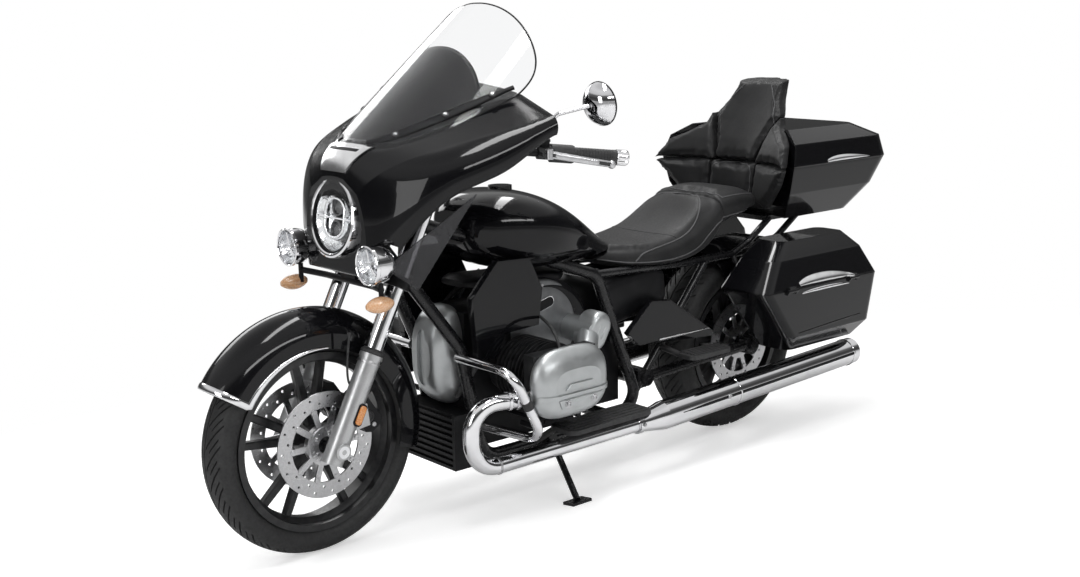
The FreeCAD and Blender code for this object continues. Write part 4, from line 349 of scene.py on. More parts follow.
WHITE = (1, 1, 1, 1)


class Nodes:
    """A tree of shading nodes, laid out by short calls."""

    def __init__(self, tree):
        self.tree = tree

    def feed(self, socket, value):
        """Gives a socket a value, or links it to a node's first output or to the output given."""
        if isinstance(value, bpy.types.Node):
            value = value.outputs[0]
        if isinstance(value, bpy.types.NodeSocket):
            self.tree.links.new(value, socket)
        else:
            socket.default_value = value

    def add(self, kind, inputs=None, **settings):
        """A node with its settings and what its inputs are fed with."""
        node = self.tree.nodes.new("ShaderNode" + kind)
        for key, value in settings.items():
            setattr(node, key, value)
        for key, value in (inputs or {}).items():
            self.feed(node.inputs[key], value)
        return node

    def ranged(self, value, start, end, low=0.0, high=1.0):
        """A value taken from one range to another."""
        return self.add("MapRange", {"Value": value, "From Min": start, "From Max": end, "To Min": low,
                                     "To Max": high})


def finish(name, colour, roughness, metallic=0.0, tint=None, grain=None, bumps=(), rounding=None,
           **sockets):
    """A material. A pattern is (scale, detail) of a noise, with a stretch as third, or (scale,) of cells.
    tint gives a pattern and a second colour, grain a pattern and the roughness at its ends, each bump a
    pattern, its strength and its height; rounding is the radius that softens sharp edges, in metres."""
    material = bpy.data.materials.new(name)
    material.use_nodes = True
    nodes = Nodes(material.node_tree)
    base = nodes.tree.nodes["Principled BSDF"]
    place = nodes.add("TexCoord").outputs["Object"]

    def pattern(scale, detail=None, stretch=None):
        if detail is None:
            return nodes.add("TexVoronoi", {"Vector": place, "Scale": scale}).outputs["Distance"]
        source = nodes.add("Mapping", {"Vector": place, "Scale": stretch}) if stretch else place
        return nodes.add("TexNoise", {"Vector": source, "Scale": scale, "Detail": detail}).outputs["Fac"]

    sockets.update(Base_Color=(*colour, 1), Roughness=roughness, Metallic=metallic)
    for key, value in sockets.items():
        nodes.feed(base.inputs[key.replace("_", " ")], value)
    if tint:
        share = nodes.ranged(pattern(*tint[0]), 0.35, 0.65)
        mixed = nodes.add("Mix", data_type="RGBA")
        for slot, value in ((0, share), (6, (*colour, 1)), (7, (*tint[1], 1))):
            nodes.feed(mixed.inputs[slot], value)
        nodes.feed(base.inputs["Base Color"], mixed.outputs[2])
    if grain:
        nodes.feed(base.inputs["Roughness"], nodes.ranged(pattern(*grain[0]), 0.3, 0.7, *grain[1:]))
    normal = nodes.add("Bevel", {"Radius": rounding}, samples=6) if rounding else None
    for source, strength, height in bumps:
        bump = nodes.add("Bump", {"Strength": strength, "Distance": height, "Height": pattern(*source)})
        if normal:
            nodes.feed(bump.inputs["Normal"], normal)
        normal = bump
    if normal:
        nodes.feed(base.inputs["Normal"], normal)
    return material


def lens(name, colour, other):
    """A coloured lens."""
    return finish(name, colour, 0.12, tint=((260,), other), bumps=[((260,), 0.3, 0.0008)], Coat_Weight=1.0,
                  Coat_Roughness=0.03, Transmission_Weight=0.25)


def rubber(name, level):
    """Dull rubber of a grey level."""
    return finish(name, (level, level, level * 1.05), 0.62, grain=((120, 4), 0.5, 0.72),
                  tint=((40, 5), (level * 1.7, level * 1.7, level * 1.75)),
                  bumps=[((900, 4), 0.25, 0.0005)])


GLOSS_BLACK = finish("gloss_black", (0.0025, 0.0025, 0.003), 0.2, tint=((2400, 1), (0.005, 0.005, 0.006)),
                     grain=((40, 4), 0.12, 0.22), bumps=[((900, 2), 0.05, 0.0002)], rounding=0.012,
                     Coat_Weight=1.0, Coat_Roughness=0.03, Coat_IOR=1.32, Specular_IOR_Level=0.05)
SATIN_BLACK = finish("satin_black", (0.005, 0.005, 0.006), 0.42, tint=((30, 5), (0.009, 0.009, 0.010)),
                     grain=((60, 4), 0.36, 0.5), bumps=[((1800, 2), 0.15, 0.0003)], Specular_IOR_Level=0.2)
FRAME_BLACK = finish("frame_black", (0.005, 0.005, 0.006), 0.28, tint=((25, 4), (0.014, 0.014, 0.015)),
                     grain=((80, 3), 0.2, 0.32), bumps=[((1200, 2), 0.04, 0.0001)],
                     Coat_Weight=0.5, Coat_Roughness=0.08, Coat_IOR=1.4, Specular_IOR_Level=0.2)
CAST_BLACK = finish("cast_black", (0.008, 0.008, 0.009), 0.38, tint=((45, 5), (0.022, 0.022, 0.023)),
                    grain=((90, 4), 0.3, 0.48), bumps=[((700, 4), 0.2, 0.0004)],
                    Coat_Weight=0.25, Coat_Roughness=0.15, Specular_IOR_Level=0.3)
CHROME = finish("chrome", (0.82, 0.82, 0.83), 0.05, 1.0, ((12, 4), (0.74, 0.74, 0.76)),
                ((60, 5), 0.03, 0.09), [((260, 2), 0.02, 0.0002)])
SILVER = finish("silver_paint", (0.40, 0.405, 0.41), 0.34, 0.75, ((1500, 2), (0.52, 0.525, 0.53)),
                ((50, 4), 0.28, 0.42), [((900, 3), 0.08, 0.0003)], Coat_Weight=0.35, Coat_Roughness=0.12)
ENGINE = finish("engine_silver", (0.43, 0.445, 0.45), 0.36, 0.82, ((35, 5), (0.47, 0.485, 0.49)),
                ((70, 5), 0.34, 0.42), [((1100, 4), 0.18, 0.0004)])
BRIGHT = finish("bright_trim", (0.86, 0.86, 0.87), 0.2, 1.0, ((30, 4), (0.8, 0.8, 0.81)),
                ((60, 4), 0.16, 0.26), [((300, 2), 0.02, 0.0002)])
HOOD = finish("hood_black", (0.010, 0.010, 0.011), 0.45, tint=((20, 4), (0.015, 0.015, 0.016)),
              bumps=[((1400, 2), 0.05, 0.0002)], Specular_IOR_Level=0.2)
LEVER = finish("lever_silver", (0.52, 0.52, 0.53), 0.3, 0.9, ((60, 4), (0.58, 0.58, 0.59)),
               ((90, 4), 0.26, 0.36), [((800, 3), 0.06, 0.0002)])
HOUSING_GREY = finish("housing_grey", (0.16, 0.165, 0.17), 0.38, 0.7, ((35, 5), (0.20, 0.205, 0.21)),
                      ((70, 5), 0.34, 0.46), [((1100, 4), 0.15, 0.0004)])
STEEL = finish("brushed_steel", (0.55, 0.55, 0.56), 0.3, 1.0, ((180, 4, (1, 0.05, 1)), (0.49, 0.49, 0.50)),
               ((220, 4), 0.26, 0.36), [((500, 3), 0.1, 0.0002)])
RUBBER = rubber("rubber", 0.018)
TYRE = rubber("tyre_rubber", 0.009)
LEATHER = finish("leather", (0.008, 0.008, 0.0085), 0.5, tint=((14, 5), (0.014, 0.014, 0.0145)),
                 grain=((160, 4), 0.4, 0.56), bumps=[((420,), 0.22, 0.0006), ((30, 3), 0.12, 0.002)],
                 Sheen_Weight=0.03, Sheen_Roughness=0.5, Specular_IOR_Level=0.24)
PIPING = finish("piping", (0.045, 0.045, 0.047), 0.55, tint=((300, 3), (0.075, 0.075, 0.078)),
                bumps=[((900, 3), 0.3, 0.0004)])
CLEAR = finish("clear_screen", (0.93, 0.935, 0.94), 0.01, grain=((6, 3), 0.0, 0.02),
               Transmission_Weight=1.0, IOR=1.2)
SMOKE = finish("smoke_screen", (0.16, 0.16, 0.17), 0.05, grain=((12, 3), 0.03, 0.09),
               Transmission_Weight=0.85,
               IOR=1.3)
DARK_PANEL = finish("dark_panel", (0.022, 0.022, 0.024), 0.3, tint=((20, 4), (0.032, 0.032, 0.034)),
                    bumps=[((1400, 2), 0.05, 0.0002)], Coat_Weight=0.6, Coat_Roughness=0.08)
LAMP_GLASS = finish("lamp_glass", (0.98, 0.985, 0.99), 0.0, grain=((30, 2), 0.0, 0.015),
                    Transmission_Weight=1.0,
                    IOR=1.03, Coat_Weight=0.5, Coat_Roughness=0.02)
REFLECTOR = finish("lamp_reflector", (0.85, 0.86, 0.87), 0.09, 1.0, grain=((90, 3), 0.05, 0.16),
                   bumps=[((140,), 0.35, 0.0015)])
AMBER = lens("amber_lens", (0.75, 0.24, 0.04), (0.85, 0.36, 0.09))
PALE_AMBER = lens("pale_amber_lens", (0.80, 0.42, 0.20), (0.88, 0.58, 0.36))
RED = lens("red_lens", (0.42, 0.004, 0.004), (0.6, 0.02, 0.01))
MIRROR = finish("mirror_glass", (0.88, 0.9, 0.92), 0.02, 1.0, grain=((20, 2), 0.01, 0.03))

SLOT_FINISH = {
    "tyre": TYRE, "cast_black": CAST_BLACK, "disc_steel": STEEL, "chrome": CHROME, "silver_paint": SILVER,
    "satin_black": SATIN_BLACK, "black_gloss": GLOSS_BLACK, "clear_screen": CLEAR, "smoke_screen": SMOKE,
    "amber_lens": AMBER, "red_lens": RED, "rubber": RUBBER, "frame_black": FRAME_BLACK,
    "engine_silver": ENGINE,
    "leather": LEATHER,
}
# Nodes whose finish differs from the rest of their slot
NODE_FINISH = {"exhausts": CHROME, "oil_cooler": SATIN_BLACK, "cylinders": CAST_BLACK,
               "shrouds": GLOSS_BLACK,
               "turn_signals": PALE_AMBER}


def finish_nodes():
    """Gives each CAD node the finish of its slot, with smooth faces."""
    slots = {entry["node"]: entry["material_slot"] for entry in frame["record"]["subparts"]}
    for name, node in frame["nodes"].items():
        for slot in node.material_slots:
            slot.material = NODE_FINISH.get(name, SLOT_FINISH[slots[name]])
        shade(node.data, 30)


finish_nodes()


# Camera, floor and light

FLOOR_HALF_SIZE = 60.0
FLOOR_COLOUR = (0.86, 0.86, 0.86, 1)
FLOOR_FADE = (1.6, 3.4)
FLOOR_LIFT = 0.48
AMBIENT = 0.42
# Height in the surround, from straight down to straight up, and how bright it is there in what is glossy
STUDIO_BANDS = ((0.0, 0.85), (0.49, 0.75), (0.52, 0.10), (0.60, 0.05), (0.70, 0.12), (0.78, 0.7),
                (0.88, 0.8),
                (1.0, 0.6))


def place_camera():
    """The photograph's camera, leant with the machine."""
    data = bpy.data.cameras.new("camera")
    data.sensor_width = SENSOR_WIDTH
    data.lens = FOCAL_PIXELS / PHOTO_WIDTH * SENSOR_WIDTH
    data.shift_x = (PHOTO_WIDTH / 2 - CENTRE_PIXEL[0]) / PHOTO_WIDTH
    data.shift_y = (CENTRE_PIXEL[1] - PHOTO_HEIGHT / 2) / PHOTO_WIDTH
    data.clip_start = 0.05
    data.clip_end = 200
    camera = in_scene("camera", data)
    turn = Matrix.Rotation(-LEAN, 3, "X")
    up = CAMERA_RIGHT.cross(CAMERA_AHEAD).normalized()
    ahead = CAMERA_AHEAD.normalized()
    right = ahead.cross(up).normalized()
    rotation = Matrix((turn @ right, turn @ up, turn @ -ahead)).transposed()
    camera.matrix_world = Matrix.Translation(UPRIGHT @ CAMERA_PLACE) @ rotation.to_4x4()
    bpy.context.scene.camera = camera


def lay_floor():
    """A pale floor that turns to plain white away from the machine."""
    mesh = bpy.data.meshes.new("floor")
    corners = ((-1, -1, 0), (1, -1, 0), (1, 1, 0), (-1, 1, 0))
    mesh.from_pydata([Vector(corner) * FLOOR_HALF_SIZE for corner in corners], [], [(0, 1, 2, 3)])
    material = bpy.data.materials.new("floor_pale")
    material.use_nodes = True
    nodes = Nodes(material.node_tree)
    base = nodes.tree.nodes["Principled BSDF"]
    for key, value in (("Base Color", FLOOR_COLOUR), ("Roughness", 0.6), ("Specular IOR Level", 0.2)):
        nodes.feed(base.inputs[key], value)
    place = nodes.add("TexCoord").outputs["Object"]
    distance = nodes.add("VectorMath", {0: place}, operation="LENGTH").outputs["Value"]
    to_camera = nodes.add("LightPath").outputs["Is Camera Ray"]
    far = nodes.add("Math", {0: nodes.ranged(distance, *FLOOR_FADE), 1: to_camera}, operation="MULTIPLY")
    lift = nodes.add("Math", {0: to_camera, 1: FLOOR_LIFT}, operation="MULTIPLY")
    near = nodes.add("AddShader", {0: base, 1: nodes.add("Emission", {"Color": WHITE, "Strength": lift})})
    white = nodes.add("Emission", {"Color": WHITE, "Strength": 1.0})
    mixed = nodes.add("MixShader", {0: far, 1: near, 2: white})
    nodes.feed(nodes.tree.nodes["Material Output"].inputs["Surface"], mixed)
    mesh.materials.append(material)
    floor = in_scene("floor", mesh)


def light_world():
    """A soft pale surround: plain white to the camera and in glass, a studio's bands in what is glossy."""
    world = bpy.data.worlds.new("studio")
    bpy.context.scene.world = world
    world.use_nodes = True
    nodes = Nodes(world.node_tree)
    nodes.tree.nodes.clear()
    place = nodes.add("TexCoord").outputs["Generated"]
    height = nodes.ranged(nodes.add("SeparateXYZ", {"Vector": place}).outputs["Z"], -1.0, 1.0)
    bands = nodes.add("ValToRGB", {"Fac": height})
    ramp = bands.color_ramp
    ramp.interpolation = "EASE"
    for end in (0, -1):
        ramp.elements[end].position = STUDIO_BANDS[end][0]
        ramp.elements[end].color = (*(STUDIO_BANDS[end][1],) * 3, 1)
    for position, level in STUDIO_BANDS[1:-1]:
        ramp.elements.new(position).color = (level, level, level, 1)
    rays = nodes.add("LightPath").outputs
    ambient = nodes.add("Background", {"Color": (AMBIENT, AMBIENT, AMBIENT, 1)})
    studio = nodes.add("Background", {"Color": bands})
    lit = nodes.add("MixShader", {0: rays["Is Glossy Ray"], 1: ambient, 2: studio})
    seen = nodes.add("Math", {0: rays["Is Camera Ray"], 1: rays["Is Transmission Ray"]},
                     operation="MAXIMUM")
    white = nodes.add("Background", {"Color": WHITE})
    mixed = nodes.add("MixShader", {0: seen, 1: lit, 2: white})
    nodes.add("OutputWorld", {"Surface": mixed})


def add_lamp(name, place, target, size, power):
    """A soft rectangular lamp that faces a target."""
    data = bpy.data.lights.new(name, "AREA")
    data.shape = "RECTANGLE"
    data.size, data.size_y = size
    data.energy = power
    lamp = in_scene(name, data)
    lamp.location = place
    lamp.rotation_euler = (Vector(target) - Vector(place)).to_track_quat("-Z", "Y").to_euler()


place_camera()
lay_floor()
light_world()
add_lamp("top_box", (-0.2, 0.2, 4.2), (0, 0, 0.6), (5.0, 0.55), 125)
add_lamp("left_box", (0.6, 4.6, 2.6), (0, 0, 0.6), (4.0, 0.5), 66)
add_lamp("front_box", (4.8, 1.2, 1.9), (0.4, 0, 0.7), (1.6, 2.2), 42)
add_lamp("back_box", (-0.1, -4.4, 3.3), (0, 0, 0.8), (4.0, 1.4), 55)
bpy.context.scene.view_settings.view_transform = "Standard"


# Tyres with tread

TYRE_SHOULDER = 0.86
TYRE_SEAT = 0.74
TYRE_FLANGE = 13.0
TYRE_WALL = 9.0
TREAD_REPEATS = 34
TREAD_DEPTH = 5.5
TREAD_SLANT = 1.5
# Places within one repeat of the tread, with the kind of groove there: 0 none, 1 long, 2 short
TREAD_ROWS = ((0.0, 0), (0.02, 1), (0.13, 1), (0.15, 0), (0.48, 0), (0.50, 2), (0.59, 2), (0.61, 0),
              (0.8, 0))
# Places from the tread's middle to its shoulder
TREAD_COLUMNS = (0.0, 0.022, 0.034, 0.11, 0.125, 0.24, 0.38, 0.395, 0.55, 0.7, 0.82, 0.835, 0.93, 0.945,
                 1.0)
LONG_GROOVE = (0.12, 0.94)
SHORT_GROOVE = (0.385, 0.825)
MIDDLE_GROOVE = 0.03


def tread_tyre(name, node, body, centre, radius, half, crown, bead):
    """A tyre with slanted grooves that mirror each other across a groove round its middle."""
    shoulder, seat = half * TYRE_SHOULDER, half * TYRE_SEAT
    belt = radius - crown + math.sqrt(crown ** 2 - shoulder ** 2)
    lip = bead + TYRE_FLANGE
    columns = [-share for share in reversed(TREAD_COLUMNS[1:])] + list(TREAD_COLUMNS)
    wall = []
    for step in range(1, 11):
        at = step / 10
        first, middle, last = (1 - at) * (1 - 2 * at), 4 * at * (1 - at), at * (2 * at - 1)
        rib = 0.9 if step in (3, 8) else 0.0
        wall.append((shoulder * first + half * middle + seat * last + rib,
                     belt * first + (belt + lip) / 2 * middle + lip * last))
    wall += [(seat, bead), (seat - TYRE_WALL, bead), (seat - TYRE_WALL, lip),
             (half - TYRE_WALL, (belt + lip) / 2),
             (shoulder - TYRE_WALL, belt - TYRE_WALL), (0.0, radius - TYRE_WALL)]
    rows = []
    for repeat in range(TREAD_REPEATS):
        for at, kind in TREAD_ROWS:
            row = []
            for share in columns:
                reach = abs(share)
                low, high = ((1, 0), LONG_GROOVE, SHORT_GROOVE)[kind]
                depth = TREAD_DEPTH if low < reach < high or reach < MIDDLE_GROOVE else 0.0
                side = share * shoulder
                turn = repeat + at + TREAD_SLANT * reach + (0.5 if share > 0.01 else 0.0)
                row.append((turn, side, radius - crown + math.sqrt(crown ** 2 - side ** 2) - depth))
            row += [(row[-1][0], side, height) for side, height in wall]
            row += [(row[0][0], -side, height) for side, height in reversed(wall[:-1])]
            rows.append([centre + directed(math.tau / TREAD_REPEATS * turn) * height + Y * side
                         for turn, side, height in row])
    rows.append(rows[0])
    piece = skin(name, rows, TYRE, body, True, angle=35)
    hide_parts(node)


tread_tyre("front_tyre_tread", "front_tyre", "front_wheel", FRONT_CENTRE, 325.0, 60.0, 76.0, 241.0)
tread_tyre("rear_tyre_tread", "rear_tyre", "rear_wheel", REAR_CENTRE, 320.0, 90.0, 112.0, 203.0)


# Brakes, axle and fork

BOBBIN = ((0, 9), (2.2, 9), (3.2, 8), (3.2, 4.5), (2.0, 4), (2.0, 0))
HUB_BOLT_CIRCLE = 35
CALIPER_TURN = math.radians(146)
CALIPER_REACH = 134
CALIPER_FACE = 110


def disc_details(prefix, centre, sides, offset, reach, body):
    """The bobbins between a disc and its carrier, and the hub's bolts."""
    for side, label in sides:
        out = Y * side
        for index, turn in spaced(10):
            lathe(f"{prefix}_bobbin_{label}_{index}", BOBBIN,
                  centre + directed(turn) * reach + out * (offset + 2.0),
                  out, STEEL, body, 20)
        for index, turn in spaced(5, 0.5):
            bolt(f"{prefix}_hub_bolt_{label}_{index}",
                 centre + directed(turn) * HUB_BOLT_CIRCLE + out * (offset + 5.4), out, 6.0, body)


disc_details("front", FRONT_CENTRE, SIDES, 72.0, 102.0, "front_wheel")
disc_details("rear", REAR_CENTRE, SIDES[:1], 82.0, 96.0, "rear_wheel")


@each_side
def fork_details(side, label):
    """The reflector, seal and rings of one fork leg, its bolts, and its caliper's pistons."""
    out = Y * side
    first, second = (FORK_ALONG, FORK_AHEAD) if side > 0 else (FORK_AHEAD, FORK_ALONG)

    def lozenge(name, length, height, thickness, proud, material, bevel):
        half, near = height * 0.5, length * 0.8
        shape = [(-length, -half), (-near, -height), (near, -height), (length, -half), (length, half),
                 (near, height),
                 (-near, height), (-length, half)]
        slab(f"{name}_{label}", shape if side > 0 else [(y, x) for x, y in shape], thickness,
             at_fork(-12, side * 156, 108) + out * proud, first, second, material, "fork", bevel)

    lozenge("reflector_bezel", 32, 14, 14, 0, SATIN_BLACK, 1.5)
    lozenge("reflector", 27, 10, 5, 8.5, AMBER, 1.2)
    leg = side * FORK_HALF_SPACING
    lathe(f"fork_seal_{label}",
          [(0, 25.4), (0, 31), (3, 33.5), (9, 33.5), (12, 29), (16, 26.5), (16, 25.4)],
          at_fork(0, leg, 274), FORK_ALONG, RUBBER, "fork", 40)
    lathe(f"fork_ring_{label}", [(0, 30), (0, 32), (2, 32.6), (6, 32.6), (8, 32), (8, 30)],
          at_fork(0, leg, 246), FORK_ALONG, STEEL, "fork", 40)
    for index, along in enumerate((-24, 6)):
        bolt(f"axle_clamp_bolt_{label}_{index}", at_fork(-29, leg, along), -FORK_AHEAD, 5.5, "fork")
    lathe(f"axle_ring_{label}", [(0, 17), (0, 22), (3, 24), (6, 23), (7.5, 20), (7.5, 17)],
          FRONT_CENTRE + out * 160, out, SILVER, "fork", 40)
    along = directed(CALIPER_TURN).cross(Y)
    face = FRONT_CENTRE + directed(CALIPER_TURN) * CALIPER_REACH + out * CALIPER_FACE
    for index, reach in enumerate((-26, 14)):
        lathe(f"caliper_piston_{label}_{index}", [(-2, 17), (3, 17), (5, 15), (5, 11), (3.5, 10), (3.5, 0)],
              face + along * reach, out, CAST_BLACK, "fork", 28)
    for index, reach in enumerate((-50, 44)):
        bolt(f"caliper_bolt_{label}_{index}", face + along * reach, out, 6.5, "fork")


# Front mudguard trim

GUARD_CENTRE = FRONT_CENTRE + Vector((10, 0, 14))
GUARD_SKIRT_RADIUS = 260.0
GUARD_EDGE_RADIUS = 302.0
GUARD_CROWN_RADIUS = 360.5
GUARD_HALF_WIDTH = 84.0
GUARD_RISE = 62.0
# Angles in degrees, from straight ahead up and over the wheel
GUARD_FRONT = 33.0
GUARD_TRIM_END = 96.0
GUARD_SKIRT_STEPS = 15


def guard_trim():
    """The bright lip round the front edge of the mudguard and back along its sides."""
    def on_guard(angle, height, aside):
        return GUARD_CENTRE + directed(math.radians(angle)) * height + Y * aside

    side = GUARD_HALF_WIDTH + 0.5
    path = [on_guard(GUARD_TRIM_END + (GUARD_FRONT - GUARD_TRIM_END) * step / (GUARD_SKIRT_STEPS - 1),
                     GUARD_SKIRT_RADIUS, side) for step in range(GUARD_SKIRT_STEPS)]
    path += [on_guard(GUARD_FRONT, GUARD_SKIRT_RADIUS + (GUARD_EDGE_RADIUS - GUARD_SKIRT_RADIUS) * step / 8,
                      side)
             for step in range(1, 8)]
    arc = (GUARD_RISE ** 2 + GUARD_HALF_WIDTH ** 2) / (2 * GUARD_RISE)
    spread = math.asin(GUARD_HALF_WIDTH / arc)
    for step in range(1, 12):
        bend = spread * (1 - step / 12)
        path.append(on_guard(GUARD_FRONT, GUARD_CROWN_RADIUS - arc + arc * math.cos(bend),
                             arc * math.sin(bend)))
    path.append(on_guard(GUARD_FRONT, GUARD_CROWN_RADIUS, 0))
    path += [sided(point, -1) for point in reversed(path[:-1])]
    outward = []
    for spot in path:
        share = min(1.0, abs(spot.y) / GUARD_HALF_WIDTH)
        outward.append(Y * (spot.y / GUARD_HALF_WIDTH) + (spot - GUARD_CENTRE).normalized() * (1 - share))
    band("mudguard_trim", path,
         lambda at: (3.0 + 6.5 * min(1.0, min(at, 1 - at) * len(path) / GUARD_SKIRT_STEPS), 2.6),
         outward, CHROME, "fork", angle=60)


guard_trim()


# Headlamp, about an axis that points forward and a little up

LAMP_TILT = math.radians(8.0)
LAMP_AXIS = directed(LAMP_TILT)
LAMP_UP = directed(LAMP_TILT, Z, -X)
LAMP_CENTRE = Vector((-112, 0, 931))


def headlamp():
    """A bright ring, a dark rim, a bowl with two U-shaped reflectors and a clear lens."""
    def turned(name, profile, material, rise=0.0, count=96, ends=False):
        return lathe(f"headlamp_{name}", profile, LAMP_CENTRE + LAMP_UP * rise, LAMP_AXIS, material, "fork",
                     count,
                     ends)

    bowl = turned("shell",
                  [(10, 97), (13, 100), (14, 104), (11, 109), (4, 111), (-12, 110.5), (-20, 104), (-45, 98),
                            (-90, 49), (-92, 0)], CHROME)
    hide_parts("headlamp")
    turned("rim", [(9, 98), (8, 92), (2, 90), (-4, 90)], SATIN_BLACK)
    turned("bowl", [(2, 91), (-14, 84), (-30, 66), (-40, 40), (-43, 16), (-43, 0)], REFLECTOR)
    turned("lens", [(5, 92), (9, 86), (14, 60), (16.5, 30), (17, 0)], LAMP_GLASS)
    for label, side in (("upper", 1), ("lower", -1)):
        arc = [LAMP_CENTRE - LAMP_AXIS * 6 + Y * (math.cos(turn) * 46)
               + LAMP_UP * (side * (math.sin(turn) * 34 + 20))
               for turn in (math.pi * step / 12 for step in range(13))]
        arc = [arc[0] - LAMP_UP * side * 18, *arc, arc[-1] - LAMP_UP * side * 18]
        band(f"headlamp_arc_{label}", arc, lambda at: (5.0, 9.0), LAMP_AXIS, REFLECTOR, "fork", 10, 3.0)
        turned(f"module_{label}", [(-30, 30), (-12, 30), (-8, 27), (-8, 23), (-14, 20), (-20, 0)],
               DARK_PANEL,
               side * 32, 40, True)
        turned(f"eye_{label}", [(-17, 20), (-11, 15), (-8, 8), (-7, 0)], LAMP_GLASS, side * 32, 40, True)
    band("headlamp_bar",
         [LAMP_CENTRE - LAMP_AXIS * back + Y * aside for back, aside in ((8, -84), (4, 0), (8, 84))],
         lambda at: (4.0, 8.0), LAMP_AXIS, CHROME, "fork", 10, 3.0)


headlamp()


@each_side
def fog_lamp(side, label):
    """A bullet-shaped fog lamp with a bright ring, a bowl and a clear lens."""
    middle = Vector((-102, side * 202, 829))

    def turned(name, profile, material, count=64, ends=False):
        return lathe(f"fog_lamp_{name}_{label}", profile, middle, X, material, "fork", count, ends)

    shell = turned("shell",
                   [(22, 47), (27, 48.5), (29, 51), (27, 54), (20, 54.5), (17, 52), (-6, 51.5), (-22, 47.5),
                             (-38, 37.5), (-48, 22), (-52, 0)], CHROME)
    if side > 0:
        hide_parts("fog_lamps")
    turned("bowl", [(23, 47.5), (6, 42), (-10, 30), (-16, 12), (-16, 0)], REFLECTOR)
    turned("cup", [(-14, 12), (4, 12), (6, 10), (6, 0)], CHROME, 32, True)
    for index in range(3):
        out = directed(math.tau * index / 3 + math.pi / 2, Y)
        path = [middle + X * x + out * reach for x, reach in ((12, 12), (16, 30), (18, 44))]
        band(f"fog_lamp_fin_{label}_{index}", path, lambda at: (4.0, 9.0), X, CHROME, "fork", 8, 3.0)
    turned("lens", [(23, 47.5), (26, 42), (30, 22), (31, 0)], LAMP_GLASS)


# Windscreen fittings. The screen is bent about its centre line; points are given up its slope and to a
# side.

SCREEN_BASE = Vector((-160, 0, 1122))
SCREEN_SLOPE = math.radians(38.6)
SCREEN_UP = directed(SCREEN_SLOPE, -X)
SCREEN_OUT = directed(SCREEN_SLOPE, Z, X)
SCREEN_LENGTH = 596.0
SCREEN_HALF_WIDTH = 280.0
SCREEN_BEND = 370.0
# Share of the length, and the share of the full width there
SCREEN_WIDTHS = ((0.0, 0.32), (0.14, 0.66), (0.36, 0.88), (0.62, 1.0), (0.82, 0.95), (0.94, 0.68),
                 (1.0, 0.0))
SCREEN_EDGE_PARTS = 72
HOOD_TOP = 0.70
HOOD_DROP = 0.27
HOOD_FOOT = 0.012
STRIP_POINTS = ((-186, 62, 1128), (-247, 124, 1149), (-361, 194, 1198), (-470, 254, 1246),
                (-520, 282, 1266))


def on_screen(at, side, lift):
    """A point over the screen's outer face, lifted off it, or sunk behind it where lift is negative."""
    drop = SCREEN_BEND - math.sqrt(max(0.0, SCREEN_BEND ** 2 - side ** 2))
    return SCREEN_BASE + SCREEN_UP * (at * SCREEN_LENGTH) + Y * side + SCREEN_OUT * (lift - drop)


def screen_half(at):
    """Half the screen's width at a share of its length."""
    for (low, first), (high, last) in zip(SCREEN_WIDTHS, SCREEN_WIDTHS[1:]):
        if at <= high:
            return (first + (last - first) * (at - low) / (high - low)) * SCREEN_HALF_WIDTH
    return 0.0


def screen_hood():
    """The dark lower part behind the clear screen, arched from side to side."""
    rows = []
    for share in (step / 26 for step in range(27)):
        row = []
        for aside in (across / 14 for across in range(-14, 15)):
            top = HOOD_TOP - HOOD_DROP * abs(aside) ** 2.4
            at = HOOD_FOOT + (top - HOOD_FOOT) * share
            row.append(on_screen(at, (screen_half(at) - 5) * aside, -6.0 - 3 * share))
        rows.append(row)
    hood = skin("screen_hood", rows, HOOD, "fork", angle=60)
    modifier(hood, "SOLIDIFY", thickness=2 * MILLIMETRE)
    applied(hood)


def screen_edge():
    """The dark rim of the screen, run round the sharp edges of its solid."""
    middle = SCREEN_BASE + SCREEN_UP * (SCREEN_LENGTH * 0.5)
    bins = {}
    work = bmesh.new()
    work.from_mesh(frame["nodes"]["windscreen"].data)
    bmesh.ops.remove_doubles(work, verts=work.verts, dist=0.00002)
    for edge in work.edges:
        if len(edge.link_faces) == 2 and edge.calc_face_angle(0.0) > math.radians(50):
            for vertex in edge.verts:
                place = TO_UPRIGHT @ vertex.co
                turn = math.atan2(place.y, (place - middle).dot(SCREEN_UP))
                bins.setdefault(round(turn / math.tau * SCREEN_EDGE_PARTS), []).append(place)
    work.free()
    path = [sum(bins[key], Vector()) / len(bins[key]) for key in sorted(bins)
            if abs(key) < SCREEN_EDGE_PARTS / 2 - 2]
    tube("screen_edge", path, 2.6, SATIN_BLACK, "fork", 6)


screen_hood()
screen_edge()


@each_side
def screen_strips(side, label):
    """The dark strip along the screen's lower edge, with three screws in their seats."""
    outward = Vector((0.35, side * 0.45, 0.8)).normalized()
    path = [spot + outward * 5 for spot in eased_path([sided(point, side) for point in STRIP_POINTS], 40)]
    band(f"screen_strip_{label}", path,
         lambda at: (15.0 * (0.45 + 0.55 * math.sin(math.pi * min(1.0, at * 1.1 + 0.08)) ** 0.6), 5.0),
         outward, SATIN_BLACK, "fork", 14, 2.6)
    for index, at in enumerate((0.25, 0.5, 0.75)):
        spot = path[int(at * (len(path) - 1))]
        lathe(f"screen_screw_seat_{label}_{index}",
              [(2, 10.5), (6.5, 10.5), (8, 9), (8, 6), (7, 5.4), (7, 0)], spot,
              outward, RUBBER, "fork", 28)
        bolt(f"screen_screw_{label}_{index}", spot + outward * 7, outward, 4.6, "fork", 3.0)


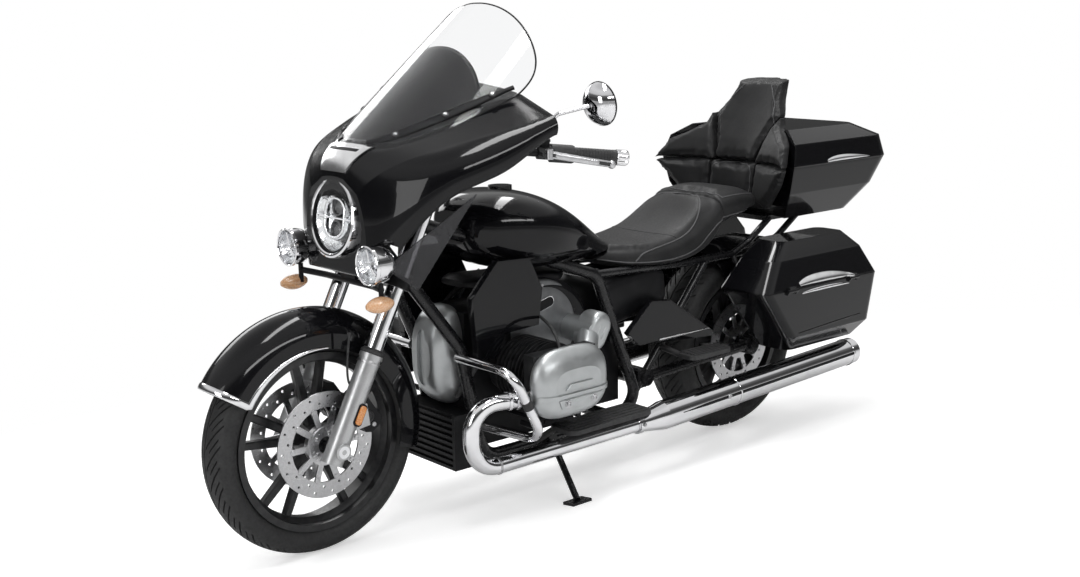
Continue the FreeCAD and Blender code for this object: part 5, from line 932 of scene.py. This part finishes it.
def nose_plate():
    """The bright plate above the headlamp, with a dark slot near its top."""
    tree = surface_of("fairing", "headlamp")
    for name, steps, low, rise, half, flare, material, thickness, lift in (
            ("nose_plate", 14, 1118, 92, 58, 40, BRIGHT, 5.0, 1.0),
            ("nose_slot", 4, 1186, 8, 64, 4, SATIN_BLACK, 6.0, 1.5)):
        rows = [[Vector((60, (half + flare * step / steps) * across / 8, low + rise * step / steps))
                 for across in range(-8, 9)] for step in range(steps + 1)]
        dressed(name, tree, rows, Vector((-1, 0, -0.35)).normalized(), material, "fork", thickness, lift)


nose_plate()


# Engine

HOUSING_CENTRE = Vector((-745, 0, 535))
HOUSING_BASE = 112
HOUSING_BOLT_CIRCLE = 134.5
HOUSING = ((0, 150), (7, 150), (12, 146), (14, 138), (14, 131), (18, 128), (24, 110), (28, 70), (29, 0))
# Where the rays toward a head cover start, beside it
HEAD_BESIDE = 480
INTAKE_CENTRE = Vector((-852, 0, 531))
# Distance from the machine's middle, and the share of the cap's full outline there
INTAKE_CAP = ((196, 0.9), (201, 0.97), (206, 1.0), (250, 1.0), (258, 0.97), (264, 0.89), (268, 0.76),
              (270, 0.55),
              (270.6, 0.02))
CLAMP = ((-5, 24.3), (-5, 27.5), (-3.5, 28.5), (3.5, 28.5), (5, 27.5), (5, 24.3))


@each_side
def engine_side(side, label):
    """The stepped round housing behind the shroud, with a plain dark plate, and the bolts round it."""
    out = Y * side
    lathe(f"upper_housing_{label}", HOUSING, HOUSING_CENTRE + out * HOUSING_BASE, out, HOUSING_GREY,
          "chassis", 96)
    for index, turn in spaced(10, 0.5):
        spot = HOUSING_CENTRE + directed(turn) * HOUSING_BOLT_CIRCLE + out * (HOUSING_BASE + 14)
        bolt(f"housing_bolt_{label}_{index}", spot, out, 4.5, "chassis", 4)
    capsule = [(math.cos(turn) * 15 + math.copysign(26, math.cos(turn)), math.sin(turn) * 15)
               for index, turn in spaced(24)]
    middle = HOUSING_CENTRE + Vector((8, 0, 78)) + out * 139
    right, up = Vector((-0.97, 0, 0.24)) * side, Vector((0.24, 0, 0.97))
    slab(f"housing_plate_rim_{label}", [(x * 1.07, y * 1.13) for x, y in capsule], 5, middle, right, up,
         CHROME,
         "chassis", 1.0)
    slab(f"housing_plate_{label}", capsule, 7, middle, right, up, SATIN_BLACK, "chassis", 1.0)


@each_side
def head_details(side, label):
    """A head cover's raised flat, lower panel and bolts, the header's clamps, and the intake's cap."""
    tree = surface_of("head_covers")
    out = Y * side
    for name, low, high, thickness in (("flat", (-586, -706, 431), (-606, -690, 447), 5.5),
                                       ("panel", (-578, -716, 376), (-560, -728, 408), 3.5)):
        rows = []
        for at in (step / 6 for step in range(7)):
            front, back, z = (first + (last - first) * at for first, last in zip(low, high))
            rows.append([Vector((front + (back - front) * across / 10, side * HEAD_BESIDE, z))
                         for across in range(11)])
        softened(dressed(f"head_{name}_{label}", tree, rows, -out, ENGINE, "chassis", thickness, 0.5), 0.8,
                 40)
    for index, x in enumerate((-596, -696)):
        spot = landed(tree, Vector((x, side * HEAD_BESIDE, 391)), -out, 4.5)
        lathe(f"head_washer_{label}_{index}", [(0, 11), (1.6, 11), (2.2, 10), (2.2, 0)], spot, out, STEEL,
              "chassis",
              28)
        bolt(f"head_bolt_{label}_{index}", spot + out * 2, out, 7.5, "chassis", 5)
    for index, turn in spaced(6, 0.5):
        bolt(f"head_edge_bolt_{label}_{index}",
             Vector((-639 + math.cos(turn) * 124, side * 352, 444 + math.sin(turn) * 90)), out, 5,
             "chassis", 5)
    for index, share in enumerate((0.22, 0.36)):
        lathe(f"header_clamp_{label}_{index}", CLAMP,
              Vector((-527 + 175 * share, side * (316 - 46 * share), 404)), Vector((175, side * -46, 0)),
              CHROME,
              "chassis", 40)
    lathe(f"header_joint_{label}", [(-3, 24.3), (-3, 26), (3, 26), (3, 24.3)],
          Vector((-440, side * 274.6, 210.6)),
          Vector((-608, side * 32, 18)), STEEL, "chassis", 40)
    rows = []
    for y, scale in INTAKE_CAP:
        row = []
        for index, turn in spaced(48):
            x = math.cos(turn) * 41 * scale
            z = (math.sin(turn) * 41 + math.copysign(21, math.sin(turn))) * scale
            row.append(INTAKE_CENTRE + Vector((x * 0.86 - z * 0.5, side * y, x * 0.5 + z * 0.86)))
        rows.append(row)
    skin(f"intake_cap_{label}", rows, ENGINE, "chassis", True, angle=50)
    for index, aside in enumerate((-11, 9)):
        start, end = (INTAKE_CENTRE + Vector((aside * 0.86 + x, side * 268, aside * 0.5 + z))
                      for x, z in ((8, -14), (-11, 19)))
        band(f"intake_rib_{label}_{index}", [start.lerp(end, at / 6) for at in range(7)],
             lambda at: (4.0 * (0.3 + 0.7 * bulge(at, 0.08, 0.84)), 4.4), out, ENGINE, "chassis", 10)


# Exhausts and crash bars

SILENCER_START = Vector((-960, 302, 226))
SILENCER_END = Vector((-2040, 302, 268))
SILENCER_TILT = math.radians(8)
SILENCER_RADIUS = 46.2
SILENCER_RING = ((-3, SILENCER_RADIUS), (-3, 47.6), (-2, 48.2), (2, 48.2), (3, 47.6), (3, SILENCER_RADIUS))
SILENCER_CLAMP = ((-9, 27), (-9, 30), (-7, 31.5), (7, 31.5), (9, 30), (9, 27))


@each_side
def exhaust_details(side, label):
    """A silencer's painted shade, a dark line along the crease between its bright tubes, its rings and clamp, and
    a crash bar's sleeve.
    """
    first, last = sided(SILENCER_START, side), sided(SILENCER_END, side)
    along = (last - first).normalized()
    aside = directed(SILENCER_TILT, Y * side)
    # Painted shade: a dark strip laid along the silencer's side, where the crease between its two bright tubes
    # lies in shade.
    slot = [first.lerp(last, 0.16 + 0.815 * at / 30) + aside * (SILENCER_RADIUS - 0.9) for at in range(31)]
    band(f"silencer_crease_shade_{label}", slot, lambda at: (5.2 * min(1.0, 0.25 + at * 6), 1.7), aside,
         SATIN_BLACK,
         "chassis", 10, 3.0)
    for index, share in enumerate((0.415, 0.97)):
        lathe(f"silencer_ring_{label}_{index}", SILENCER_RING, first.lerp(last, share), along, CHROME,
              "chassis", 64)
    clamp = first.lerp(last, 0.012)
    lathe(f"silencer_clamp_{label}", SILENCER_CLAMP, clamp, along, CHROME, "chassis", 48)
    bolt(f"silencer_clamp_bolt_{label}", clamp + aside * 31, aside, 6, "chassis", 8)
    bolt(f"silencer_bolt_{label}", first.lerp(last, 0.36) + aside * (SILENCER_RADIUS + 0.3), aside, 8,
         "chassis", 4)
    lathe(f"crash_bar_sleeve_{label}", [(-13, 14.2), (-13, 15.4), (13, 15.4), (13, 14.2)],
          sided((-484, 360, 401), side), Vector((-113, 0, -220)), RUBBER, "chassis", 32)


# Luggage and side covers

def wedge(name, tree, front, rear, height_front, height_rear, side, body, proud):
    """A bright wedge-shaped grip along a case's side, deepest at its middle."""
    rows = []
    for at in (step / 20 for step in range(21)):
        x, z = (first + (last - first) * at for first, last in zip(front, rear))
        high = max(0.6, (height_front * (1 - at) + height_rear * at) * bulge(at, 0.04, 0.93) ** 0.5)
        rows.append([landed(tree, Vector((x, side * BESIDE, z + high * share)), -Y * side, -1.0)
                     + Y * side * (proud * math.sin(math.pi * share) ** 0.55 * bulge(at, 0.03, 0.94) ** 0.6
                                   * (1 - 0.35 * share)) for share in (across / 8 for across in range(9))])
    skin(name, rows, BRIGHT, body, angle=35)


@each_side
def luggage_trim(side, label):
    """A pannier's grip, latch and crease, and the top case's grip."""
    box_tree = surface_of(f"pannier_{label}")
    wedge(f"pannier_grip_{label}", surface_of(f"pannier_lid_{label}"), (-1640, 572), (-1915, 570), 34, 26,
          side,
          f"pannier_lid_{label}", 13.0)
    wedge(f"pannier_latch_{label}", box_tree, (-1650, 545), (-1900, 545), 14, 14, side, "chassis", 9.0)
    crease = laid(box_tree,
                  [Vector((-1660 - 330 * at / 24, side * BESIDE, 408 + 16 * at / 24)) for at in range(25)],
                  -Y * side)
    band(f"pannier_crease_{label}", crease, lambda at: (3.4 * bulge(at, 0.05, 0.9), 2.6), Y * side,
         GLOSS_BLACK,
         "chassis", 10)
    wedge(f"case_grip_{label}", surface_of("top_case_lid"), (-1880, 951), (-2110, 953), 26, 12, side,
          "case_lid", 11.0)


@each_side
def side_cover_trim(side, label):
    """The bright strip along the foot of a side cover."""
    path = laid(surface_of("side_covers"),
                [Vector((-1200 - 236 * at / 20, side * BESIDE, 430 + at / 20)) for at in range(21)],
                -Y * side)
    band(f"side_cover_trim_{label}", path, lambda at: (4.6 * (1 - at) + 1.2, 3.2), Y * side, BRIGHT,
         "chassis", 10,
         3.0)


# Seats and backrest pads

CUSHION_VOXEL = 0.006
CUSHION_SHRINK = 0.0015
FILL_FRAMES = 20
FILL_PRESSURE = 4.0
# Backrest node, its body, its place, and the line (y, z, y, z) that parts its middle from its wings
BACKRESTS = (("backrest_lower", "chassis", "lower", (98, 800, 104, 960)),
             ("backrest_upper", "case_lid", "upper", (92, 960, 150, 1110)))
cushions = []


def cut_mesh(node, cuts):
    """A solid's mesh cut and closed at planes given upright; what lies on a plane's far side goes."""
    work = bmesh.new()
    work.from_mesh(frame["nodes"][node].data)
    bmesh.ops.remove_doubles(work, verts=work.verts, dist=0.00002)
    for place, normal in cuts:
        outcome = bmesh.ops.bisect_plane(work, geom=work.verts[:] + work.edges[:] + work.faces[:],
                                         plane_co=UPRIGHT @ place,
                                         plane_no=(FROM_UPRIGHT @ normal).normalized(),
                                         clear_outer=True)
        edges = [item for item in outcome["geom_cut"] if isinstance(item, bmesh.types.BMEdge)]
        bmesh.ops.edgeloop_fill(work, edges=edges)
    bmesh.ops.recalc_face_normals(work, faces=work.faces)
    mesh = bpy.data.meshes.new(node)
    work.to_mesh(mesh)
    work.free()
    return mesh


def cushion(name, node, body, cap, back, cuts=()):
    """A soft pad cut from a solid: remeshed, smoothed and made a little smaller, ready to be filled.
    Filling moves no point by more than cap, in metres, and none that faces back, where the pad rests."""
    piece = in_scene(name, cut_mesh(node, cuts))
    modifier(piece, "REMESH", mode="VOXEL", voxel_size=CUSHION_VOXEL)
    modifier(piece, "SMOOTH", factor=0.5, iterations=3)
    mesh = applied(piece).data
    mesh.materials.clear()
    mesh.materials.append(LEATHER)
    normals = [vertex.normal.copy() for vertex in mesh.vertices]
    for vertex, normal in zip(mesh.vertices, normals):
        vertex.co -= normal * CUSHION_SHRINK
    rest = (FROM_UPRIGHT @ back).normalized()
    shares = [min(1.0, max(0.0, (normal.dot(rest) + 0.1) / 0.7)) for normal in normals]
    weights = [1 - share * share * (3 - 2 * share) for share in shares]
    cushions.append((piece, body, node, cap, weights, [vertex.co.copy() for vertex in mesh.vertices]))


def fill_cushions():
    """Blows the pads up from inside, caps how far a point moves, and rounds the result."""
    for piece, *rest in cushions:
        cloth = modifier(piece, "CLOTH")
        cloth.settings.use_pressure = True
        cloth.settings.uniform_pressure_force = FILL_PRESSURE
        cloth.settings.effector_weights.gravity = 0
        cloth.point_cache.frame_end = FILL_FRAMES
    for step in range(1, FILL_FRAMES + 1):
        bpy.context.scene.frame_set(step)
    for piece, *rest in cushions:
        applied(piece)
    bpy.context.scene.frame_set(1)
    for piece, body, node, cap, weights, starts in cushions:
        for vertex, weight, start in zip(piece.data.vertices, weights, starts):
            moved = vertex.co - start
            if moved.length > cap:
                moved *= cap / moved.length
            vertex.co = start + moved * weight
        modifier(piece, "SMOOTH", factor=0.5, iterations=3)
        modifier(piece, "SUBSURF", levels=1, render_levels=1)
        applied(piece)
        shade(piece.data, 80)
        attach(piece, body)
        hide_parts(node)


def parting_plane(y, z, high_y, high_z, side):
    """A cutting plane through two points of the backrest's face that keeps what lies toward the middle."""
    return Vector((0, y * side, z)), Vector((0, high_z - z, -(high_y - y) * side)).normalized() * side


cushion("rider_cushion", "rider_seat", "chassis", 0.009, -Z)
cushion("pillion_cushion", "pillion_seat", "chassis", 0.008, -Z)
for node, body, level, line in BACKRESTS:
    cuts = [parting_plane(*line, side) for side, label in SIDES]
    cushion(f"backrest_{level}_centre", node, body, 0.010, -X, cuts)
    for side, label in SIDES:
        place, normal = parting_plane(*line, side)
        cushion(f"backrest_{level}_wing_{label}", node, body, 0.008, -X, [(place, -normal)])
fill_cushions()
CUSHION_TREES = {piece.name: tree_of(piece.data) for piece, *rest in cushions}


def seam(name, pad, points, direction, body="chassis", radius=2.2, material=PIPING, lift=0.4, count=60):
    """A piped seam dropped on a pad from one direction."""
    path = laid(CUSHION_TREES[pad], eased_path([Vector(point) for point in points], count), direction, lift)
    tube(name, path, radius, material, body, 3)


def mirrored(*half):
    """A line from its left half, given to the middle, and the same on the right."""
    return list(half) + [sided(point, -1) for point in reversed(half[:-1])]


RIM_HALF = ((-1016, 96), (-1080, 126), (-1160, 146), (-1250, 156), (-1340, 154), (-1410, 138), (-1462, 104),
            (-1492, 52), (-1500, 0))
RIDER_SKIRT = ((-1016, 706), (-1100, 690), (-1200, 686), (-1300, 692), (-1380, 710), (-1430, 742),
               (-1475, 772),
               (-1508, 786))
PILLION_SKIRT = ((-1514, 790), (-1560, 796), (-1620, 800), (-1688, 804))
PILLION_TOP = ((-1530, 140), (-1580, 144), (-1640, 142), (-1686, 134))
BACKREST_RISE = ((150, 968), (132, 1000), (128, 1060), (112, 1120), (84, 1170), (60, 1200))
seam("rider_seam_rim", "rider_cushion", mirrored(*((x, y, ABOVE) for x, y in RIM_HALF)), -Z, radius=2.4,
     count=140)
seam("rider_seam_cross", "rider_cushion",
     mirrored((-1300, 150, ABOVE), (-1276, 80, ABOVE), (-1270, 0, ABOVE)), -Z,
     "chassis", 1.5, SATIN_BLACK, -0.5)
seam("pillion_seam_front", "pillion_cushion",
     mirrored((-1530, 140, ABOVE), (-1524, 70, ABOVE), (-1522, 0, ABOVE)), -Z,
     radius=1.8)
for side, label in SIDES:
    seam(f"rider_seam_skirt_{label}", "rider_cushion", [(x, side * BESIDE, z) for x, z in RIDER_SKIRT],
         -Y * side)
    seam(f"pillion_seam_skirt_{label}", "pillion_cushion",
         [(x, side * BESIDE, z) for x, z in PILLION_SKIRT],
         -Y * side)
    seam(f"pillion_seam_top_{label}", "pillion_cushion", [(x, side * y, ABOVE) for x, y in PILLION_TOP], -Z)
    seam(f"backrest_seam_{label}", "backrest_upper_centre",
         [(BEHIND, side * y, z) for y, z in BACKREST_RISE], -X,
         "case_lid", 1.8)
seam("backrest_seam_lower", "backrest_lower_centre",
     mirrored((BEHIND, -86, 815), (BEHIND, -88, 880), (BEHIND, -84, 925), (BEHIND, -60, 936),
              (BEHIND, 0, 938)), -X,
     radius=1.6, count=90)


# Handlebar

BAR_BEND = Vector((-500, 330, 1104))
BAR_END = Vector((-775, 457, 1071))
BAR_ALONG = (BAR_END - BAR_BEND).normalized()
GRIP_CAP = 34.0
GRIP_LENGTH = 126.0
SWITCH_LENGTH = 62.0
SWITCH_RADIUS = 25.0
GRIP_GROOVES = 13
LEVER_BALL = ((-11.5, 0), (-10.6, 4.5), (-8, 8.3), (-4.3, 10.7), (0, 11.5), (4.3, 10.7), (8, 8.3),
              (10.6, 4.5),
              (11.5, 0))
# Place along the bar and share of the end cap's radius
BAR_CAP = ((126.5, 1.0), (128, 1.06), (154, 1.06), (158, 1.02), (160.5, 0.9), (160.8, 0.4), (160.8, 0.02))
# Place along the switch housing, height, radius and finish of each button
BUTTONS = ((14, 10, 6.5, RUBBER), (30, 12, 5.5, RUBBER), (30, -6, 5.0, RUBBER), (48, 6, 7.0, DARK_PANEL))
MIRROR_CENTRE = (-669, 446, 1224)


@each_side
def bar_fittings(side, label):
    """Ribbed grip, fluted bar end, silver lever, fluid reservoir and switches."""
    along, end = sided(BAR_ALONG, side), sided(BAR_END, side)
    start = end - along * (GRIP_CAP + GRIP_LENGTH)
    profile = [(1, 18.2), (1, 23.5), (4, 23.5), (6, 20)]
    for at in (8 + index * 8.6 for index in range(GRIP_GROOVES)):
        profile += [(at, 20), (at + 0.8, 19.2), (at + 2.2, 19.2), (at + 3.0, 20)]
    profile += [(122, 20.4), (125, 20.4), (125, 18.2)]
    lathe(f"grip_rubber_{label}", profile, start, along, RUBBER, "fork")
    first, second = basis(along)
    rows = []
    for at, reach in BAR_CAP:
        row = []
        for index, turn in spaced(80):
            radius = 19.4 if index % 8 in (3, 4, 5) and 128 < at < 159 else 20.6 * reach
            row.append(start + along * at + directed(turn, first, second) * radius)
        rows.append(row)
    skin(f"bar_end_{label}", rows, CHROME, "fork", True, angle=30)
    forward = along.cross(Z).normalized() * side
    mount = start - along * (SWITCH_LENGTH + 18)
    pivot = mount + forward * 56
    tip = pivot + along * 176 - Z * 16
    path = [pivot.lerp(tip, at / 20) + forward * (5.5 * math.sin(math.pi * at / 20 * 1.15))
            for at in range(21)]
    band(f"hand_lever_{label}", path, lambda at: (10.6 - 2.0 * at, 7.4), forward, LEVER, "fork", 14, 2.6)
    lathe(f"lever_ball_{label}", LEVER_BALL, tip, along, LEVER, "fork", 32)
    lathe(f"lever_pivot_{label}", [(-13, 9), (-13, 11), (13, 11), (14, 10), (14, 5), (12, 4), (12, 0)],
          pivot, Z,
          STEEL, "fork", 28)
    lathe(f"reservoir_{label}", [(0, 17), (12, 17), (12, 19), (17, 19), (19, 17.5), (19, 0)],
          mount + Z * 17, Z,
          SATIN_BLACK, "fork", 40)
    for index, (at, rise, size, material) in enumerate(BUTTONS):
        back = math.sqrt(SWITCH_RADIUS ** 2 - rise ** 2)
        lathe(f"switch_button_{label}_{index}", [(0, size), (3.4, size), (4.2, size - 1), (4.2, 0)],
              start - along * at - forward * (back - 1.5) + Z * rise, Z * rise - forward * back, material,
              "fork", 20)


@each_side
def mirror_face(side, label):
    """The mirror's glass, set in a dark rim."""
    axis = directed(math.radians(8.0), -X)
    centre = sided(MIRROR_CENTRE, side) - X * 19
    lathe(f"mirror_rim_{label}", [(-3, 60.3), (1, 60.6), (3, 59), (3, 55.5), (1.2, 55)], centre, axis,
          SATIN_BLACK,
          "fork", 64, False)
    lathe(f"mirror_glass_{label}", [(0.6, 56), (1.4, 40), (1.9, 20), (2.0, 0)], centre, axis, MIRROR,
          "fork", 64,
          False)


# Dark forms and lines between engine, tank and rear wheel

def dark_form(name, start, step, *measures):
    """A rounded dark body along the machine, drawn in toward its ends. Half its height and half its width
    are each given as the full measure, the share of it left at the ends, and how fast it grows from the
    front and from the rear."""
    def sizes(at):
        return [full * min(1.0, low + front * at, low + rear * (1 - at))
                for full, low, front, rear in measures]

    path = [Vector(start) + Vector(step) * index for index in range(18)]
    band(name, path, sizes, Y, SATIN_BLACK, "chassis", 32, 4.5)


dark_form("air_box", (-505, 0, 694), (-23, 0, -1.2), (18, 0.5, 4, 4), (88, 0.6, 4, 4))
dark_form("battery_tray", (-1010, 0, 560), (-17, 0, 2), (84, 0.6, 5, 3), (118, 0.7, 5, 5))
# Name, radius, body and points of each hose and cable
LINES = (("engine_hose", 9, "chassis",
          ((-452, 78, 372), (-470, 120, 440), (-520, 140, 520), (-600, 130, 640),
                                        (-690, 100, 690))),
         ("sensor_cable", 3.2, "fork",
          ((-60, 128, 640), (-48, 112, 520), (-70, 122, 470), (-110, 118, 420))),
         ("plug_lead", 4.5, "chassis",
          ((-690, 150, 600), (-672, 230, 590), (-648, 300, 560), (-640, 322, 528))))
for side, label in SIDES:
    for name, radius, body, points in LINES:
        tube(f"{name}_{label}", [sided(point, side) for point in points], radius, RUBBER, body)


# Boards

# Name, node, front and rear x, inner and outer y, and the top's height
BOARDS = (("rider", "floorboards", -690, -994, 232, 332, 266),
          ("passenger", "passenger_boards", -1256, -1416, 212, 282, 380))
BOARD_RIBS = 5
for side, label in SIDES:
    for board, node, front, rear, inner, outer, top in BOARDS:
        tree = surface_of(node)
        for index in range(BOARD_RIBS):
            y = side * (inner + (outer - inner) * (index + 0.5) / BOARD_RIBS)
            points = [Vector((front + (rear - front) * step / 14, y, top + 160)) for step in range(15)]
            path = [spot for spot in laid(tree, points, -Z, -0.2) if spot.z > top - 40]
            if len(path) > 3:
                band(f"{board}_board_rib_{label}_{index}", path, lambda at: (5.0, 3.0), Z, RUBBER,
                     "chassis", 8, 3.0)


# Instruments: four dials with marks and hands beside a display

PANEL_SURFACE = surface_of("instrument_panel")
PANEL_LEAN = math.radians(15)
PANEL_FACING = directed(PANEL_LEAN, -X)
PANEL_UP = directed(PANEL_LEAN, Z, X)
PANEL_RIGHT = PANEL_UP.cross(PANEL_FACING).normalized()
PANEL_BEHIND = -560.0
PANEL_FOOT = 1074.0
DIAL_HEIGHT = 40.0
DISPLAY_HEIGHT = 48.0
DIAL_SWEEP = math.radians(240)
DIAL_BEZEL = ((0, 26.5), (2.6, 26.5), (3.4, 27.6), (3.2, 29.4), (0, 30.6))
# Each dial's place across the panel, its marks and how far its hand has turned
DIALS = ((244, 9, 0.5), (172, 13, 0.0), (-172, 13, 0.0), (-244, 9, 0.35))
# Each word's name, text, size and place to the right and up from the display's middle
WORDS = (("display_speed", "0", 40, 0, 4), ("display_unit", "km/h", 9, 34, -8),
         ("display_gear", "N", 24, -92, 4),
         ("display_clock", "10:08", 14, 96, 20), ("display_distance", "000 000 km", 8, 92, -18))


def on_panel(aside, height):
    """A point of the panel's face, aside from its middle and at a height up its slope."""
    return landed(PANEL_SURFACE, Vector((PANEL_BEHIND, aside, PANEL_FOOT + height * math.cos(PANEL_LEAN))),
                  X)


def rectangle(wide, high):
    """The corners of a rectangle about its middle."""
    return [(-wide / 2, -high / 2), (wide / 2, -high / 2), (wide / 2, high / 2), (-wide / 2, high / 2)]


def figures(name, words, size, centre, material, body):
    """Thin raised figures on the panel, centred at a point."""
    curve = bpy.data.curves.new(name, "FONT")
    curve.body = words
    curve.size = size
    curve.extrude = 0.25
    curve.align_x = "CENTER"
    curve.align_y = "CENTER"
    mesh = curve_mesh(name, curve)
    turned = Matrix((PANEL_RIGHT, PANEL_UP, PANEL_FACING)).transposed().to_4x4()
    mesh.transform(Matrix.Translation(centre) @ turned)
    mesh_object(name, mesh, material, body)


def dial(index, aside, marks, at):
    """A dial with a bezel, marks, a hand and its hub."""
    face = on_panel(aside, DIAL_HEIGHT)

    def pointing(name, outline, thickness, share, reach, proud, material):
        out = directed(math.pi / 2 + DIAL_SWEEP * (0.5 - share), PANEL_RIGHT, PANEL_UP)
        slab(f"dial_{name}", outline, thickness, face + out * reach + PANEL_FACING * proud, out,
             out.cross(PANEL_FACING), material, "fork")

    lathe(f"dial_face_{index}", [(0, 27.5), (0.8, 27.5), (0.8, 0)], face, PANEL_FACING, SATIN_BLACK, "fork")
    lathe(f"dial_bezel_{index}", DIAL_BEZEL, face, PANEL_FACING, CHROME, "fork", ends=False)
    for step in range(marks):
        long = 5.0 if step % 2 == 0 else 3.0
        pointing(f"mark_{index}_{step}", rectangle(long, 1.1), 0.5, step / (marks - 1), 24.5 - long / 2,
                 1.0, BRIGHT)
    pointing(f"hand_{index}", [(-5, -1.1), (19, -0.4), (19, 0.4), (-5, 1.1)], 0.6, at, 0, 2.0, RED)
    lathe(f"dial_hub_{index}", [(0.8, 3.4), (2.8, 3.4), (3.4, 2.6), (3.4, 0)], face, PANEL_FACING,
          SATIN_BLACK,
          "fork", 20)


for index, (aside, marks, at) in enumerate(DIALS):
    dial(index, aside, marks, at)
DISPLAY_FACE = on_panel(0, DISPLAY_HEIGHT)
slab("display_glass", rectangle(252, 76), 1.2, DISPLAY_FACE + PANEL_FACING * 0.6, PANEL_RIGHT, PANEL_UP,
     DARK_PANEL,
     "fork", 0.5)
for name, words, size, right, up in WORDS:
    centre = DISPLAY_FACE + PANEL_FACING * 1.5 + PANEL_RIGHT * right + PANEL_UP * up
    figures(name, words, size, centre, BRIGHT, "fork")
